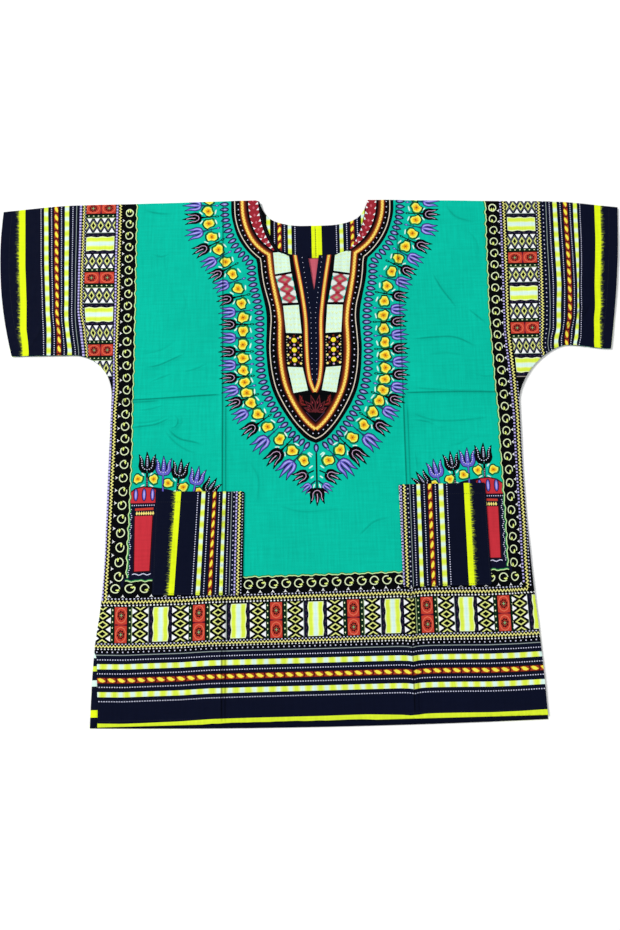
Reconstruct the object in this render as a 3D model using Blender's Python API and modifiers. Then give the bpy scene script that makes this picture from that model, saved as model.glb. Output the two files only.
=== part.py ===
"""A dashiki shirt laid flat on its back: a loose pullover with kimono sleeves.

The garment lies in the XY plane with its hem towards -Y, its neck towards +Y
and its front up.  The origin is under the middle of the shirt, on the surface
that it lies on.  Every piece that a maker cuts is its own object: the back, the
front, the two halves of the back neck facing and the two patch pockets.

A panel is lofted in rows, from hem to shoulder, across columns that run from
cuff to cuff, then given the thickness of the cloth.  All sizes are in metres.
"""

from collections import namedtuple

import bpy
import numpy as np

NAME = "dashiki_shirt"

# Cloth and the clearances between pieces that lie on each other.
CLOTH = 0.0012
SEAM_GAP = 0.0004
POCKET_GAP = 0.0005

# Overall lines, measured from the origin.
HEM_BACK = -0.4070
HEM_FRONT = -0.3993
HEM_FRONT_TILT = 0.0070
HEM_BACK_RISE = 0.0050
SPAN_HALF = 0.4920

# Neck: its middle, the level of the neck points and half the width there.
NECK_X = 0.0055
NECK_Y = 0.4050
NECK_HALF = 0.0870

# Centre slit in the front, below the neckline.
SLIT_X = 0.0030
SLIT_HALF = 0.0087
SLIT_LENGTH = 0.0600

# Back neck facing: half its width, and how far it comes down from the neck points.
FACING_HALF = 0.1030
FACING_DROP = 0.0990
FACING_INSET = 0.0006

# Left side vent in the hem: the front's edge is drawn in, so that the back shows.
VENT_TOP = -0.2990
VENT_FRONT_LOW = 0.3150
VENT_FRONT_HIGH = 0.3185

# Shoulder line: its height at a distance out from the middle, on each side.
Shoulder = namedtuple("Shoulder", "out left right")
SHOULDERS = (
    Shoulder(out=0.000, left=0.4070, right=0.4050),
    Shoulder(out=0.110, left=0.4070, right=0.4040),
    Shoulder(out=0.300, left=0.4052, right=0.3990),
    Shoulder(out=0.400, left=0.4035, right=0.3955),
    Shoulder(out=0.492, left=0.3950, right=0.3840),
)

# Side seam: how far out it lies at a height, on each side.
Side = namedtuple("Side", "height left right")
SIDES = (
    Side(height=-0.410, left=0.3262, right=0.3192),
    Side(height=-0.300, left=0.3230, right=0.3165),
    Side(height=-0.220, left=0.3145, right=0.3125),
    Side(height=-0.060, left=0.3110, right=0.3095),
    Side(height=0.090, left=0.3090, right=0.3120),
)

# Neckline: how far down it lies at a distance out from the middle of the neck.
Neck = namedtuple("Neck", "out front back")
NECKLINE = (
    Neck(out=0.0000, front=0.0950, back=0.0430),
    Neck(out=0.0300, front=0.0945, back=0.0422),
    Neck(out=0.0420, front=0.0915, back=0.0405),
    Neck(out=0.0540, front=0.0860, back=0.0375),
    Neck(out=0.0640, front=0.0730, back=0.0335),
    Neck(out=0.0720, front=0.0560, back=0.0280),
    Neck(out=0.0780, front=0.0360, back=0.0205),
    Neck(out=0.0830, front=0.0160, back=0.0110),
    Neck(out=0.0870, front=0.0000, back=0.0000),
)

# Sleeve: the cuff's distance out at its low, middle and top points, the underarm
# curve, from the side seam at its foot out to the underside's level, and how far
# the underside drops again by the cuff.
Sleeve = namedtuple(
    "Sleeve", "sign cuff_low cuff_mid cuff_top foot level reach roundness drop"
)
SLEEVES = {
    "left": Sleeve(
        sign=-1, cuff_low=0.4650, cuff_mid=0.4885, cuff_top=0.4905,
        foot=0.0850, level=0.1515, reach=0.0630, roundness=2.0, drop=0.0000,
    ),
    "right": Sleeve(
        sign=1, cuff_low=0.4590, cuff_mid=0.4795, cuff_top=0.4920,
        foot=0.0660, level=0.1530, reach=0.0800, roundness=1.6, drop=0.0070,
    ),
}

# Slack in the front, where it stands a little off the back: long soft swells.
Swell = namedtuple("Swell", "x y half_width half_length height")
SWELLS = (
    Swell(x=-0.205, y=0.190, half_width=0.050, half_length=0.110, height=0.0014),
    Swell(x=0.215, y=0.180, half_width=0.050, half_length=0.120, height=0.0016),
    Swell(x=-0.390, y=0.270, half_width=0.045, half_length=0.060, height=0.0013),
    Swell(x=0.395, y=0.265, half_width=0.045, half_length=0.060, height=0.0015),
    Swell(x=0.000, y=0.010, half_width=0.090, half_length=0.080, height=0.0012),
    Swell(x=-0.050, y=-0.290, half_width=0.110, half_length=0.045, height=0.0010),
)

# Creases from folding, as low ridges along a line from one end to the other.
Crease = namedtuple("Crease", "x0 y0 x1 y1 half_width height")
CREASES = (
    Crease(x0=-0.1396, y0=0.078, x1=-0.1404, y1=-0.400, half_width=0.0046, height=0.0010),
    Crease(x0=0.1355, y0=0.074, x1=0.1320, y1=-0.398, half_width=0.0046, height=0.0010),
    Crease(x0=-0.2700, y0=0.077, x1=-0.1400, y1=0.071, half_width=0.0048, height=0.0009),
    Crease(x0=0.1355, y0=0.074, x1=0.2750, y1=0.072, half_width=0.0048, height=0.0009),
    Crease(x0=0.4180, y0=0.215, x1=0.3740, y1=0.165, half_width=0.0070, height=0.0012),
)
CREASE_FADE = 0.020

# Patch pockets: their middle, size, and turn in radians about it.
Pocket = namedtuple("Pocket", "x y width length turn")
POCKETS = {
    "left": Pocket(x=-0.1745, y=-0.1435, width=0.1315, length=0.1530, turn=-0.021),
    "right": Pocket(x=0.1868, y=-0.1380, width=0.1285, length=0.1515, turn=0.003),
}
POCKET_STEPS_ACROSS = 30
POCKET_STEPS_DOWN = 8

# Columns of the body, as runs of equal steps out from one distance to the next.
Run = namedtuple("Run", "start stop steps")
SLIT_COLUMNS = (-1.0, -0.5, 0.0, 0.5, 1.0)
NECK_COLUMNS = (
    Run(start=0.018, stop=0.042, steps=2),
    Run(start=0.042, stop=0.054, steps=2),
    Run(start=0.054, stop=0.078, steps=4),
    Run(start=0.078, stop=0.087, steps=3),
)
BODY_COLUMNS = (
    Run(start=0.102, stop=0.120, steps=1),
    Run(start=0.120, stop=0.148, steps=7),
    Run(start=0.148, stop=0.302, steps=5),
)

# Columns of a sleeve, as shares of the way out from the side seam to the cuff.
SLEEVE_COLUMNS = (
    Run(start=0.000, stop=0.060, steps=2),
    Run(start=0.060, stop=0.400, steps=4),
    Run(start=0.400, stop=1.000, steps=4),
)

# Rows, as shares of the height below the underarm line and of the height above it.
ROWS_BELOW = (
    Run(start=0.000, stop=0.195, steps=2),
    Run(start=0.195, stop=0.245, steps=2),
    Run(start=0.245, stop=0.800, steps=6),
    Run(start=0.800, stop=0.960, steps=3),
    Run(start=0.960, stop=1.000, steps=4),
)
ROWS_ABOVE = (
    Run(start=0.000, stop=0.075, steps=4),
    Run(start=0.075, stop=0.250, steps=3),
    Run(start=0.250, stop=1.000, steps=9),
)

# Colours of the cloth where each piece is cut from it.
TEAL = (0.006, 0.530, 0.390, 1.0)
NAVY = (0.006, 0.008, 0.024, 1.0)


def smooth(low, high, value):
    """Go from 0 at low to 1 at high, with no corner at either."""
    share = np.clip((value - low) / (high - low), 0.0, 1.0)
    return share * share * (3.0 - 2.0 * share)


def look_up(table, key, column, value):
    """Read a column of a table between its rows, along a smooth curve."""
    keys = np.array([getattr(row, key) for row in table])
    heights = np.array([getattr(row, column) for row in table])
    slopes = np.gradient(heights, keys)
    value = float(np.clip(value, keys[0], keys[-1]))
    row = int(np.clip(np.searchsorted(keys, value) - 1, 0, len(keys) - 2))
    step = keys[row + 1] - keys[row]
    t = (value - keys[row]) / step
    start = heights[row] * (1 + 2 * t) * (1 - t) ** 2 + slopes[row] * step * t * (1 - t) ** 2
    stop = heights[row + 1] * t * t * (3 - 2 * t) - slopes[row + 1] * step * t * t * (1 - t)
    return start + stop


def run_values(runs):
    """List the places that a table of runs steps through."""
    values = []
    for run in runs:
        values.extend(np.linspace(run.start, run.stop, run.steps + 1))
    return sorted({round(float(value), 6) for value in values})


def side_name(x):
    return "left" if x < 0.0 else "right"


def shoulder_height(x):
    return look_up(SHOULDERS, "out", side_name(x), abs(x))


def neck_depth(x, piece):
    return look_up(NECKLINE, "out", piece, abs(x - NECK_X))


def top_edge(x, piece):
    """Height of a panel's upper edge: shoulder, neckline and, in front, the slit."""
    height = shoulder_height(x)
    if abs(x - NECK_X) <= NECK_HALF:
        height = min(height, NECK_Y - neck_depth(x, piece))
    if piece == "front" and abs(x - SLIT_X) < SLIT_HALF:
        height -= SLIT_LENGTH * (1.0 - abs(x - SLIT_X) / SLIT_HALF)
    return height


def hem_edge(x, piece):
    """Height of a panel's lower edge; the back hangs a little lower than the front."""
    across = x / SPAN_HALF
    if piece == "front":
        return HEM_FRONT + HEM_FRONT_TILT * 0.5 * across
    return HEM_BACK + HEM_BACK_RISE * 2.0 * across * across


def side_distance(side, height, piece):
    """Distance out to the side seam, or to the edge of the vent below it."""
    out = look_up(SIDES, "height", side, height)
    if piece == "front" and side == "left":
        up_vent = float(smooth(HEM_FRONT, VENT_TOP, height))
        edge = VENT_FRONT_LOW + (VENT_FRONT_HIGH - VENT_FRONT_LOW) * up_vent
        out += (edge - out) * float(smooth(VENT_TOP + 0.004, VENT_TOP - 0.010, height))
    return out


def underarm_height(x):
    """Level of the foot of the underarm curves, carried straight across the body."""
    left, right = SLEEVES["left"], SLEEVES["right"]
    half = look_up(SIDES, "height", "left", left.foot)
    share = np.clip((x + half) / (2.0 * half), 0.0, 1.0)
    return left.foot + (right.foot - left.foot) * float(share)


def cuff_distance(sleeve, share):
    """Distance out to the cuff, at a share of the way up it."""
    low_part = sleeve.cuff_low * (1 - share) * (1 - 2 * share)
    mid_part = sleeve.cuff_mid * 4 * share * (1 - share)
    top_part = sleeve.cuff_top * share * (2 * share - 1)
    return low_part + mid_part + top_part


def underside_height(sleeve, out, side_out):
    """Lower edge of a sleeve: the underarm curve, then the level underside."""
    short = np.clip((side_out + sleeve.reach - out) / sleeve.reach, 0.0, 1.0)
    rise = (1.0 - short ** sleeve.roundness) ** (1.0 / sleeve.roundness)
    past_curve = smooth(side_out + sleeve.reach, sleeve.cuff_low, out)
    return sleeve.foot + (sleeve.level - sleeve.foot) * float(rise) - sleeve.drop * past_curve


def body_columns():
    """Distances of the body's columns from the middle, from left to right."""
    columns = [SLIT_X + share * SLIT_HALF for share in SLIT_COLUMNS]
    for out in run_values(NECK_COLUMNS):
        columns.extend((NECK_X - out, NECK_X + out))
    for out in run_values(BODY_COLUMNS):
        columns.extend((-out, out))
    return sorted(columns)


def panel_rows(piece):
    """Rows of points of a whole panel, from the hem up, each from cuff to cuff."""
    columns = body_columns()
    foot_out = {}
    for side, sleeve in SLEEVES.items():
        foot_out[side] = look_up(SIDES, "height", side, sleeve.foot)
    rows = []
    for share in run_values(ROWS_BELOW):
        row = []
        for x in (-foot_out["left"], *columns, foot_out["right"]):
            low, high = hem_edge(x, piece), underarm_height(x)
            y = low + (high - low) * share
            side = side_name(x)
            spread = side_distance(side, y, piece) - foot_out[side]
            row.append((x + np.sign(x) * spread * (x / foot_out[side]) ** 2, y))
        rows.append(row)
    below = len(rows)
    for share in run_values(ROWS_ABOVE)[1:]:
        row = []
        for x in (-foot_out["left"], *columns, foot_out["right"]):
            low = underarm_height(x)
            row.append((x, low + (top_edge(x, piece) - low) * share))
        rows.append(row)
    wings = {
        side: sleeve_rows(SLEEVES[side], foot_out[side], piece, len(rows) - below)
        for side in SLEEVES
    }
    return rows, below, wings


def sleeve_rows(sleeve, side_out, piece, count):
    """Rows of a sleeve's own points, from its underside up, going outwards."""
    rows = []
    for share in run_values(ROWS_ABOVE):
        row = []
        for spread in run_values(SLEEVE_COLUMNS)[1:]:
            out = side_out + (cuff_distance(sleeve, share) - side_out) * spread
            low_out = side_out + (sleeve.cuff_low - side_out) * spread
            low = underside_height(sleeve, low_out, side_out)
            high = top_edge(sleeve.sign * out, piece)
            row.append((sleeve.sign * out, low + (high - low) * share))
        rows.append(row)
    return rows


def crease_height(crease, x, y):
    """Height that a crease adds at a point: a soft ridge that fades at its ends."""
    along_x, along_y = crease.x1 - crease.x0, crease.y1 - crease.y0
    length = float(np.hypot(along_x, along_y))
    along = ((x - crease.x0) * along_x + (y - crease.y0) * along_y) / length
    across = ((y - crease.y0) * along_x - (x - crease.x0) * along_y) / length
    past_end = max(-along, along - length, 0.0) / CREASE_FADE
    return crease.height * float(np.exp(-(across / crease.half_width) ** 2 - past_end ** 2))


def front_lift(x, y):
    """Height of the front's underside over the surface that the shirt lies on."""
    height = CLOTH + SEAM_GAP
    over_facing = smooth(0.150, 0.120, abs(x - NECK_X))
    over_facing *= smooth(NECK_Y - FACING_DROP - 0.045, NECK_Y - FACING_DROP - 0.012, y)
    height += (CLOTH + SEAM_GAP) * float(over_facing)
    for swell in SWELLS:
        away = ((x - swell.x) / swell.half_width) ** 2 + ((y - swell.y) / swell.half_length) ** 2
        height += swell.height * float(np.exp(-0.5 * away))
    for crease in CREASES:
        height += crease_height(crease, x, y)
    return height


def back_lift(x, y):
    return 0.0


def facing_lift(x, y):
    return CLOTH + SEAM_GAP


def pocket_lift(x, y):
    return front_lift(x, y) + CLOTH + POCKET_GAP


def new_material(name, colour):
    material = bpy.data.materials.new(name)
    material.use_nodes = True
    shader = material.node_tree.nodes["Principled BSDF"]
    shader.inputs["Base Color"].default_value = colour
    shader.inputs["Roughness"].default_value = 0.85
    material.diffuse_color = colour
    return material


def cloth_object(name, points, faces, lift, colour, collection):
    """Make one cut piece: an open sheet of faces at its height, made solid."""
    mesh = bpy.data.meshes.new(name)
    vertices = [(x, y, lift(x, y)) for x, y in points]
    mesh.from_pydata(vertices, [], faces)
    mesh.materials.append(new_material(name + "_cloth", colour))
    mesh.update()
    piece = bpy.data.objects.new(name, mesh)
    collection.objects.link(piece)
    wall = piece.modifiers.new("cloth", "SOLIDIFY")
    wall.thickness = CLOTH
    wall.offset = 1.0
    return piece


def grid_faces(count_across, count_down, start=0):
    """Faces between rows of points that are listed one after the other."""
    faces = []
    for row in range(count_down - 1):
        for column in range(count_across - 1):
            corner = start + row * count_across + column
            above = corner + count_across
            faces.append((corner, corner + 1, above + 1, above))
    return faces


def make_panel(name, piece, lift, colour, collection):
    """Loft a whole panel, its two sleeves joined to the body's side columns."""
    rows, below, wings = panel_rows(piece)
    count = len(rows[0])
    points = [point for row in rows for point in row]
    faces = grid_faces(count, len(rows))
    for side, wing in wings.items():
        body_column = 0 if side == "left" else count - 1
        start = len(points)
        steps = len(wing[0])
        points.extend(point for row in wing for point in row)
        lines = []
        for level in range(len(wing)):
            line = [(below - 1 + level) * count + body_column]
            line += [start + level * steps + step for step in range(steps)]
            lines.append(line)
        for low, high in zip(lines, lines[1:]):
            for step in range(steps):
                face = (low[step], low[step + 1], high[step + 1], high[step])
                faces.append(face if side == "right" else face[::-1])
    return cloth_object(name, points, faces, lift, colour, collection)


def make_facing(name, sign, collection):
    """Loft one half of the back neck facing, from its lower edge up to the neckline."""
    outs = [SEAM_GAP / 2.0, 0.018, *run_values(NECK_COLUMNS)[1:], 0.095, FACING_HALF]
    points = []
    steps_up = 4
    for step in range(steps_up + 1):
        for out in outs:
            x = NECK_X + sign * out
            low = NECK_Y - FACING_DROP
            high = top_edge(x, "back") - FACING_INSET
            points.append((x, low + (high - low) * step / steps_up))
    faces = grid_faces(len(outs), steps_up + 1)
    if sign < 0:
        faces = [face[::-1] for face in faces]
    return cloth_object(name, points, faces, facing_lift, NAVY, collection)


def make_pocket(name, pocket, collection):
    """Make a patch pocket from the front's surface, moved out by its thickness."""
    cosine, sine = np.cos(pocket.turn), np.sin(pocket.turn)
    points = []
    for down in np.linspace(-0.5, 0.5, POCKET_STEPS_DOWN + 1):
        for across in np.linspace(-0.5, 0.5, POCKET_STEPS_ACROSS + 1):
            u, v = across * pocket.width, down * pocket.length
            points.append((pocket.x + u * cosine - v * sine, pocket.y + u * sine + v * cosine))
    faces = grid_faces(POCKET_STEPS_ACROSS + 1, POCKET_STEPS_DOWN + 1)
    return cloth_object(name, points, faces, pocket_lift, NAVY, collection)


def clear_scene():
    for item in list(bpy.data.objects):
        bpy.data.objects.remove(item, do_unlink=True)


def main():
    clear_scene()
    collection = bpy.data.collections.new(NAME)
    bpy.context.scene.collection.children.link(collection)
    make_panel("back_panel", "back", back_lift, TEAL, collection)
    make_panel("front_panel", "front", front_lift, TEAL, collection)
    make_facing("neck_facing_left", -1, collection)
    make_facing("neck_facing_right", 1, collection)
    for side, pocket in POCKETS.items():
        make_pocket("pocket_" + side, pocket, collection)


main()
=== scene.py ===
"""A dashiki shirt laid flat on its back, seen from above on a plain floor.

Every panel is cut from printed cotton.  The print is drawn first, as flat shapes of
colour in millimetres, each laid over those before it.  A panel's mesh is then cut along
those shapes, so that the print is in the cloth and not on it, and laid at its height
over the floor, with its creases, hems and stitches.
"""

import math

import bpy
import numpy as np
from mathutils import Matrix, Vector
from mathutils.geometry import delaunay_2d_cdt


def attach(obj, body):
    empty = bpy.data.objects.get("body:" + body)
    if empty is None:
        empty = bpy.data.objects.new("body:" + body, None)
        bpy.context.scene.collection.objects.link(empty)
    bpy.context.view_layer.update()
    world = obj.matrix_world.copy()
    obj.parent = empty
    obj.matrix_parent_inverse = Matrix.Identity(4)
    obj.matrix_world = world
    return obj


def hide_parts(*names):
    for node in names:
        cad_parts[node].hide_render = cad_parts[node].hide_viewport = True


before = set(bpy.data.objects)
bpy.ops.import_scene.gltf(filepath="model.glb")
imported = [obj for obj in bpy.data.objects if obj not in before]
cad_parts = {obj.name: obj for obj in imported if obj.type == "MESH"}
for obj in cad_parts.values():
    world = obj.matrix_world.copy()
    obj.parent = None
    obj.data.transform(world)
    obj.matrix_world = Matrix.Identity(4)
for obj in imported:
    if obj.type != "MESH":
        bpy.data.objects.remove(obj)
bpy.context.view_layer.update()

# ---------------------------------------------------------------------------
# Print: colours, as seen, from 0 to 255.
# ---------------------------------------------------------------------------
INKS = {
    "teal": (4, 192, 165),
    "green": (30, 138, 72),
    "black": (4, 5, 8),
    "navy": (10, 15, 36),
    "deep": (52, 14, 16),
    "cream": (213, 222, 192),
    "mint": (222, 252, 240),
    "ivory": (228, 244, 172),
    "pale": (240, 246, 116),
    "white": (252, 255, 255),
    "lime": (224, 246, 74),
    "limewhite": (238, 252, 196),
    "bright": (231, 252, 28),
    "dullbright": (222, 244, 50),
    "olive": (112, 126, 58),
    "zigzag": (244, 240, 142),
    "lilac": (196, 188, 250),
    "dots": (222, 224, 250),
    "grey": (150, 164, 160),
    "sage": (150, 172, 120),
    "leafline": (10, 40, 22),
    "red": (202, 50, 62),
    "brick": (198, 64, 50),
    "coral": (230, 118, 88),
    "wine": (158, 40, 52),
    "rose": (204, 94, 110),
    "brown": (142, 66, 26),
    "cordbrown": (118, 46, 24),
    "rope": (150, 60, 30),
    "ember": (184, 84, 34),
    "gold": (255, 222, 104),
    "straw": (250, 232, 128),
    "amber": (186, 94, 34),
    "yellow": (252, 226, 50),
    "violet": (104, 98, 204),
    "lavender": (186, 178, 244),
    "indigo": (18, 26, 74),
    "ink": (14, 16, 40),
    "shell": (206, 172, 206),
    "ice": (214, 250, 240),
    "limepale": (232, 250, 130),
    "diamond": (230, 238, 138),
    "scallop": (206, 240, 170),
    "curl": (232, 246, 198),
    "bud": (232, 250, 132),
    "slate": (92, 98, 124),
    "blush": (168, 160, 150),
    "plum": (104, 20, 44),
    "dusk": (74, 54, 84),
    "tipwine": (96, 36, 42),
    "chalk": (230, 238, 232),
    "celadon": (219, 251, 231),
    "steel": (36, 74, 150),
    "maroon": (84, 28, 20),
    "creamline": (226, 216, 196),
    "olivegold": (238, 172, 30),
    "sulphur": (250, 238, 76),
    "rust": (164, 58, 40),
    "crimson": (178, 62, 76),
    "seed": (130, 130, 194),
    "branch": (20, 74, 110),
}

TURN = 2.0 * math.pi

# to the left and to the right of a middle line
BOTH_WAYS = (-1.0, 1.0)


class Print:
    """Flat shapes of colour, in millimetres, each laid over those before it."""

    def __init__(self):
        self.inks = []
        self.shapes = []
        self.limits = None

    def fill(self, ink, points):
        points = [(float(x), float(y)) for x, y in points]
        if self.limits:
            points = kept_between(points, *self.limits)
        if len(points) > 2:
            self.inks.append(ink)
            self.shapes.append(points)

    def line(self, ink, points, width):
        """A line of even width, as a run of four-sided pieces that share their ends."""
        left, right = both_sides(points, width / 2.0)
        for i in range(len(points) - 1):
            self.fill(ink, (left[i], left[i + 1], right[i + 1], right[i]))

    def lines(self, inks, points):
        """A line in several widths on both halves of the panel, the widest first."""
        for ink, width in inks:
            for sign in BOTH_WAYS:
                self.line(ink, mirrored(points, sign), width)

    def dot(self, ink, x, y, radius):
        self.fill(ink, ring(x, y, radius, radius, 4))


def kept_between(points, low, high):
    """The part of a shape whose x lies between two limits."""
    for limit, sign in ((low, 1.0), (high, -1.0)):
        kept = []
        for i, (x1, y1) in enumerate(points):
            x0, y0 = points[i - 1]
            if (x0 - limit) * (x1 - limit) < 0:
                share = (limit - x0) / (x1 - x0)
                kept.append((limit, y0 + (y1 - y0) * share))
            if (x1 - limit) * sign >= 0:
                kept.append((x1, y1))
        points = kept
    return points


def mirrored(points, sign):
    """A shape of the right half where sign is 1, or its mirror image where it is -1."""
    return [(sign * x, y) for x, y in points]


def box(s0, s1, t0, t1):
    """The corners of an upright rectangle."""
    return (s0, t0), (s1, t0), (s1, t1), (s0, t1)


def lozenge(s, t, a, b):
    """An upright diamond round (s, t), half as wide as a and half as tall as b."""
    return (s - a, t), (s, t - b), (s + a, t), (s, t + b)


def ring(x, y, rx, ry, corners=12, turn=0.0, tilt=0.0):
    """Points round an ellipse."""
    c, s = math.cos(tilt), math.sin(tilt)
    points = []
    for i in range(corners):
        a = turn + TURN * i / corners
        u, v = rx * math.cos(a), ry * math.sin(a)
        points.append((x + u * c - v * s, y + u * s + v * c))
    return points


def unit(ways, least=1e-9):
    """The same directions, each 1 long."""
    return ways / np.maximum(np.linalg.norm(ways, axis=1), least)[:, None]


def both_sides(points, reach, closed=False):
    """The points to the left and to the right of a line, mitred at its corners."""
    p = np.asarray(points, float)
    if closed:
        before, after = np.roll(p, 1, 0), np.roll(p, -1, 0)
    else:
        before = np.vstack([2 * p[0] - p[1], p[:-1]])
        after = np.vstack([p[1:], 2 * p[-1] - p[-2]])
    a, b = unit(p - before), unit(after - p)
    way = unit(a + b, 1e-6)
    normal = np.stack([-way[:, 1], way[:, 0]], 1)
    share = np.clip((normal * np.stack([-a[:, 1], a[:, 0]], 1)).sum(1), 0.35, 1.0)
    shift = normal * (reach / share)[:, None]
    return p + shift, p - shift


def spline(knots, step=3.0):
    """A smooth curve through knots, as points about a step apart."""
    p = np.asarray(knots, float)
    p = np.vstack([2 * p[0] - p[1], p, 2 * p[-1] - p[-2]])
    points = []
    for a, b, c, d in zip(p, p[1:], p[2:], p[3:]):
        count = max(1, int(round(np.linalg.norm(c - b) / step)))
        for k in range(count):
            t = k / count
            bend, twist = 2 * a - 5 * b + 4 * c - d, 3 * b - a - 3 * c + d
            points.append(0.5 * (2 * b + (c - a) * t + bend * t * t + twist * t ** 3))
    points.append(p[-2])
    return np.array(points)


def lengths(points):
    """How far along a line each of its points lies."""
    p = np.asarray(points, float)
    return np.concatenate([[0.0], np.cumsum(np.linalg.norm(np.diff(p, axis=0), axis=1))])


def reached_at(points, reached, at):
    """The place on a line where a length along it is reached."""
    return np.interp(at, reached, points[:, 0]), np.interp(at, reached, points[:, 1])


# how far on each side of a station its direction is taken, in millimetres
DIRECTION_REACH = 2.5


def stations(points, pitch, first=0.0, last=0.0):
    """Places at an even pitch along a line, each with the direction there."""
    p = np.asarray(points, float)
    s = lengths(p)
    found = []
    at = first
    while at <= s[-1] - last:
        x, y = reached_at(p, s, at)
        x1, y1 = reached_at(p, s, at + DIRECTION_REACH)
        x0, y0 = reached_at(p, s, at - DIRECTION_REACH)
        dx, dy = x1 - x0, y1 - y0
        size = math.hypot(dx, dy)
        found.append((x, y, dx / size, dy / size))
        at += pitch
    return found


def stand(points, x, y, ux, uy, scale=1.0, flip=1.0):
    """Turn a shape so that its own up is (ux, uy), and put its foot at (x, y)."""
    return [
        (x + scale * (flip * u * uy + v * ux), y + scale * (-flip * u * ux + v * uy))
        for u, v in points
    ]


def noise(number):
    """A number from 0 to 1 that looks random and is always the same."""
    return (math.sin(number * 12.9898 + 4.1414) * 43758.5453) % 1.0


# where the lines of the hem dip into the pressed fold on the right, and where the most
KINK = (114.0, 119.0, 123.0, 126.0, 128.5, 130.5, 131.5, 132.5, 134.5, 137.0, 140.0, 144.0, 149.0)
KINK_DEEPEST = 131.5

# --- bands: places s along a border and t across it, outwards from its inner line -------
# the strands of a rope for a pitch of ROPE_PITCH: along it, and across it from -1 to 1
ROPE_PITCH = 14.4
ROPE_STRANDS = (
    ("deep", ((10.4, -1.0), (12.0, 0.1), (10.6, 1.0), (12.4, 1.0), (13.8, 0.0), (12.4, -1.0))),
    ("ember", ((-2.0, -0.6), (2.4, -1.0), (6.8, -0.74), (11.2, 0.25), (7.0, 0.98), (1.8, 0.70))),
    ("sulphur", ((-0.6, -0.60), (2.8, -0.92), (6.6, -0.60), (10.9, 0.28), (7.0, 0.80), (2.6, 0.46))),
)
# how far apart the frayed ends of the bright stripe lie
FRAY_PITCH = 2.3

# how deep the arcs of the pale line go
SCALLOP_REACH = 1.5

# the leaf at the end of a curl, and a dart between two curls
CURL_LEAF = (
    (-4.0, 0.6), (-2.4, -1.2), (-1.0, -0.6), (0.8, -1.9), (2.6, -1.0),
    (2.0, 0.2), (3.0, 1.3), (0.6, 1.5), (-0.8, 2.3), (-1.8, 1.2),
)
BARB = ((-2.9, 1.8), (-1.0, -0.4), (0.0, -2.61), (1.0, -0.4), (2.9, 1.8), (0.0, 0.7))


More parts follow.
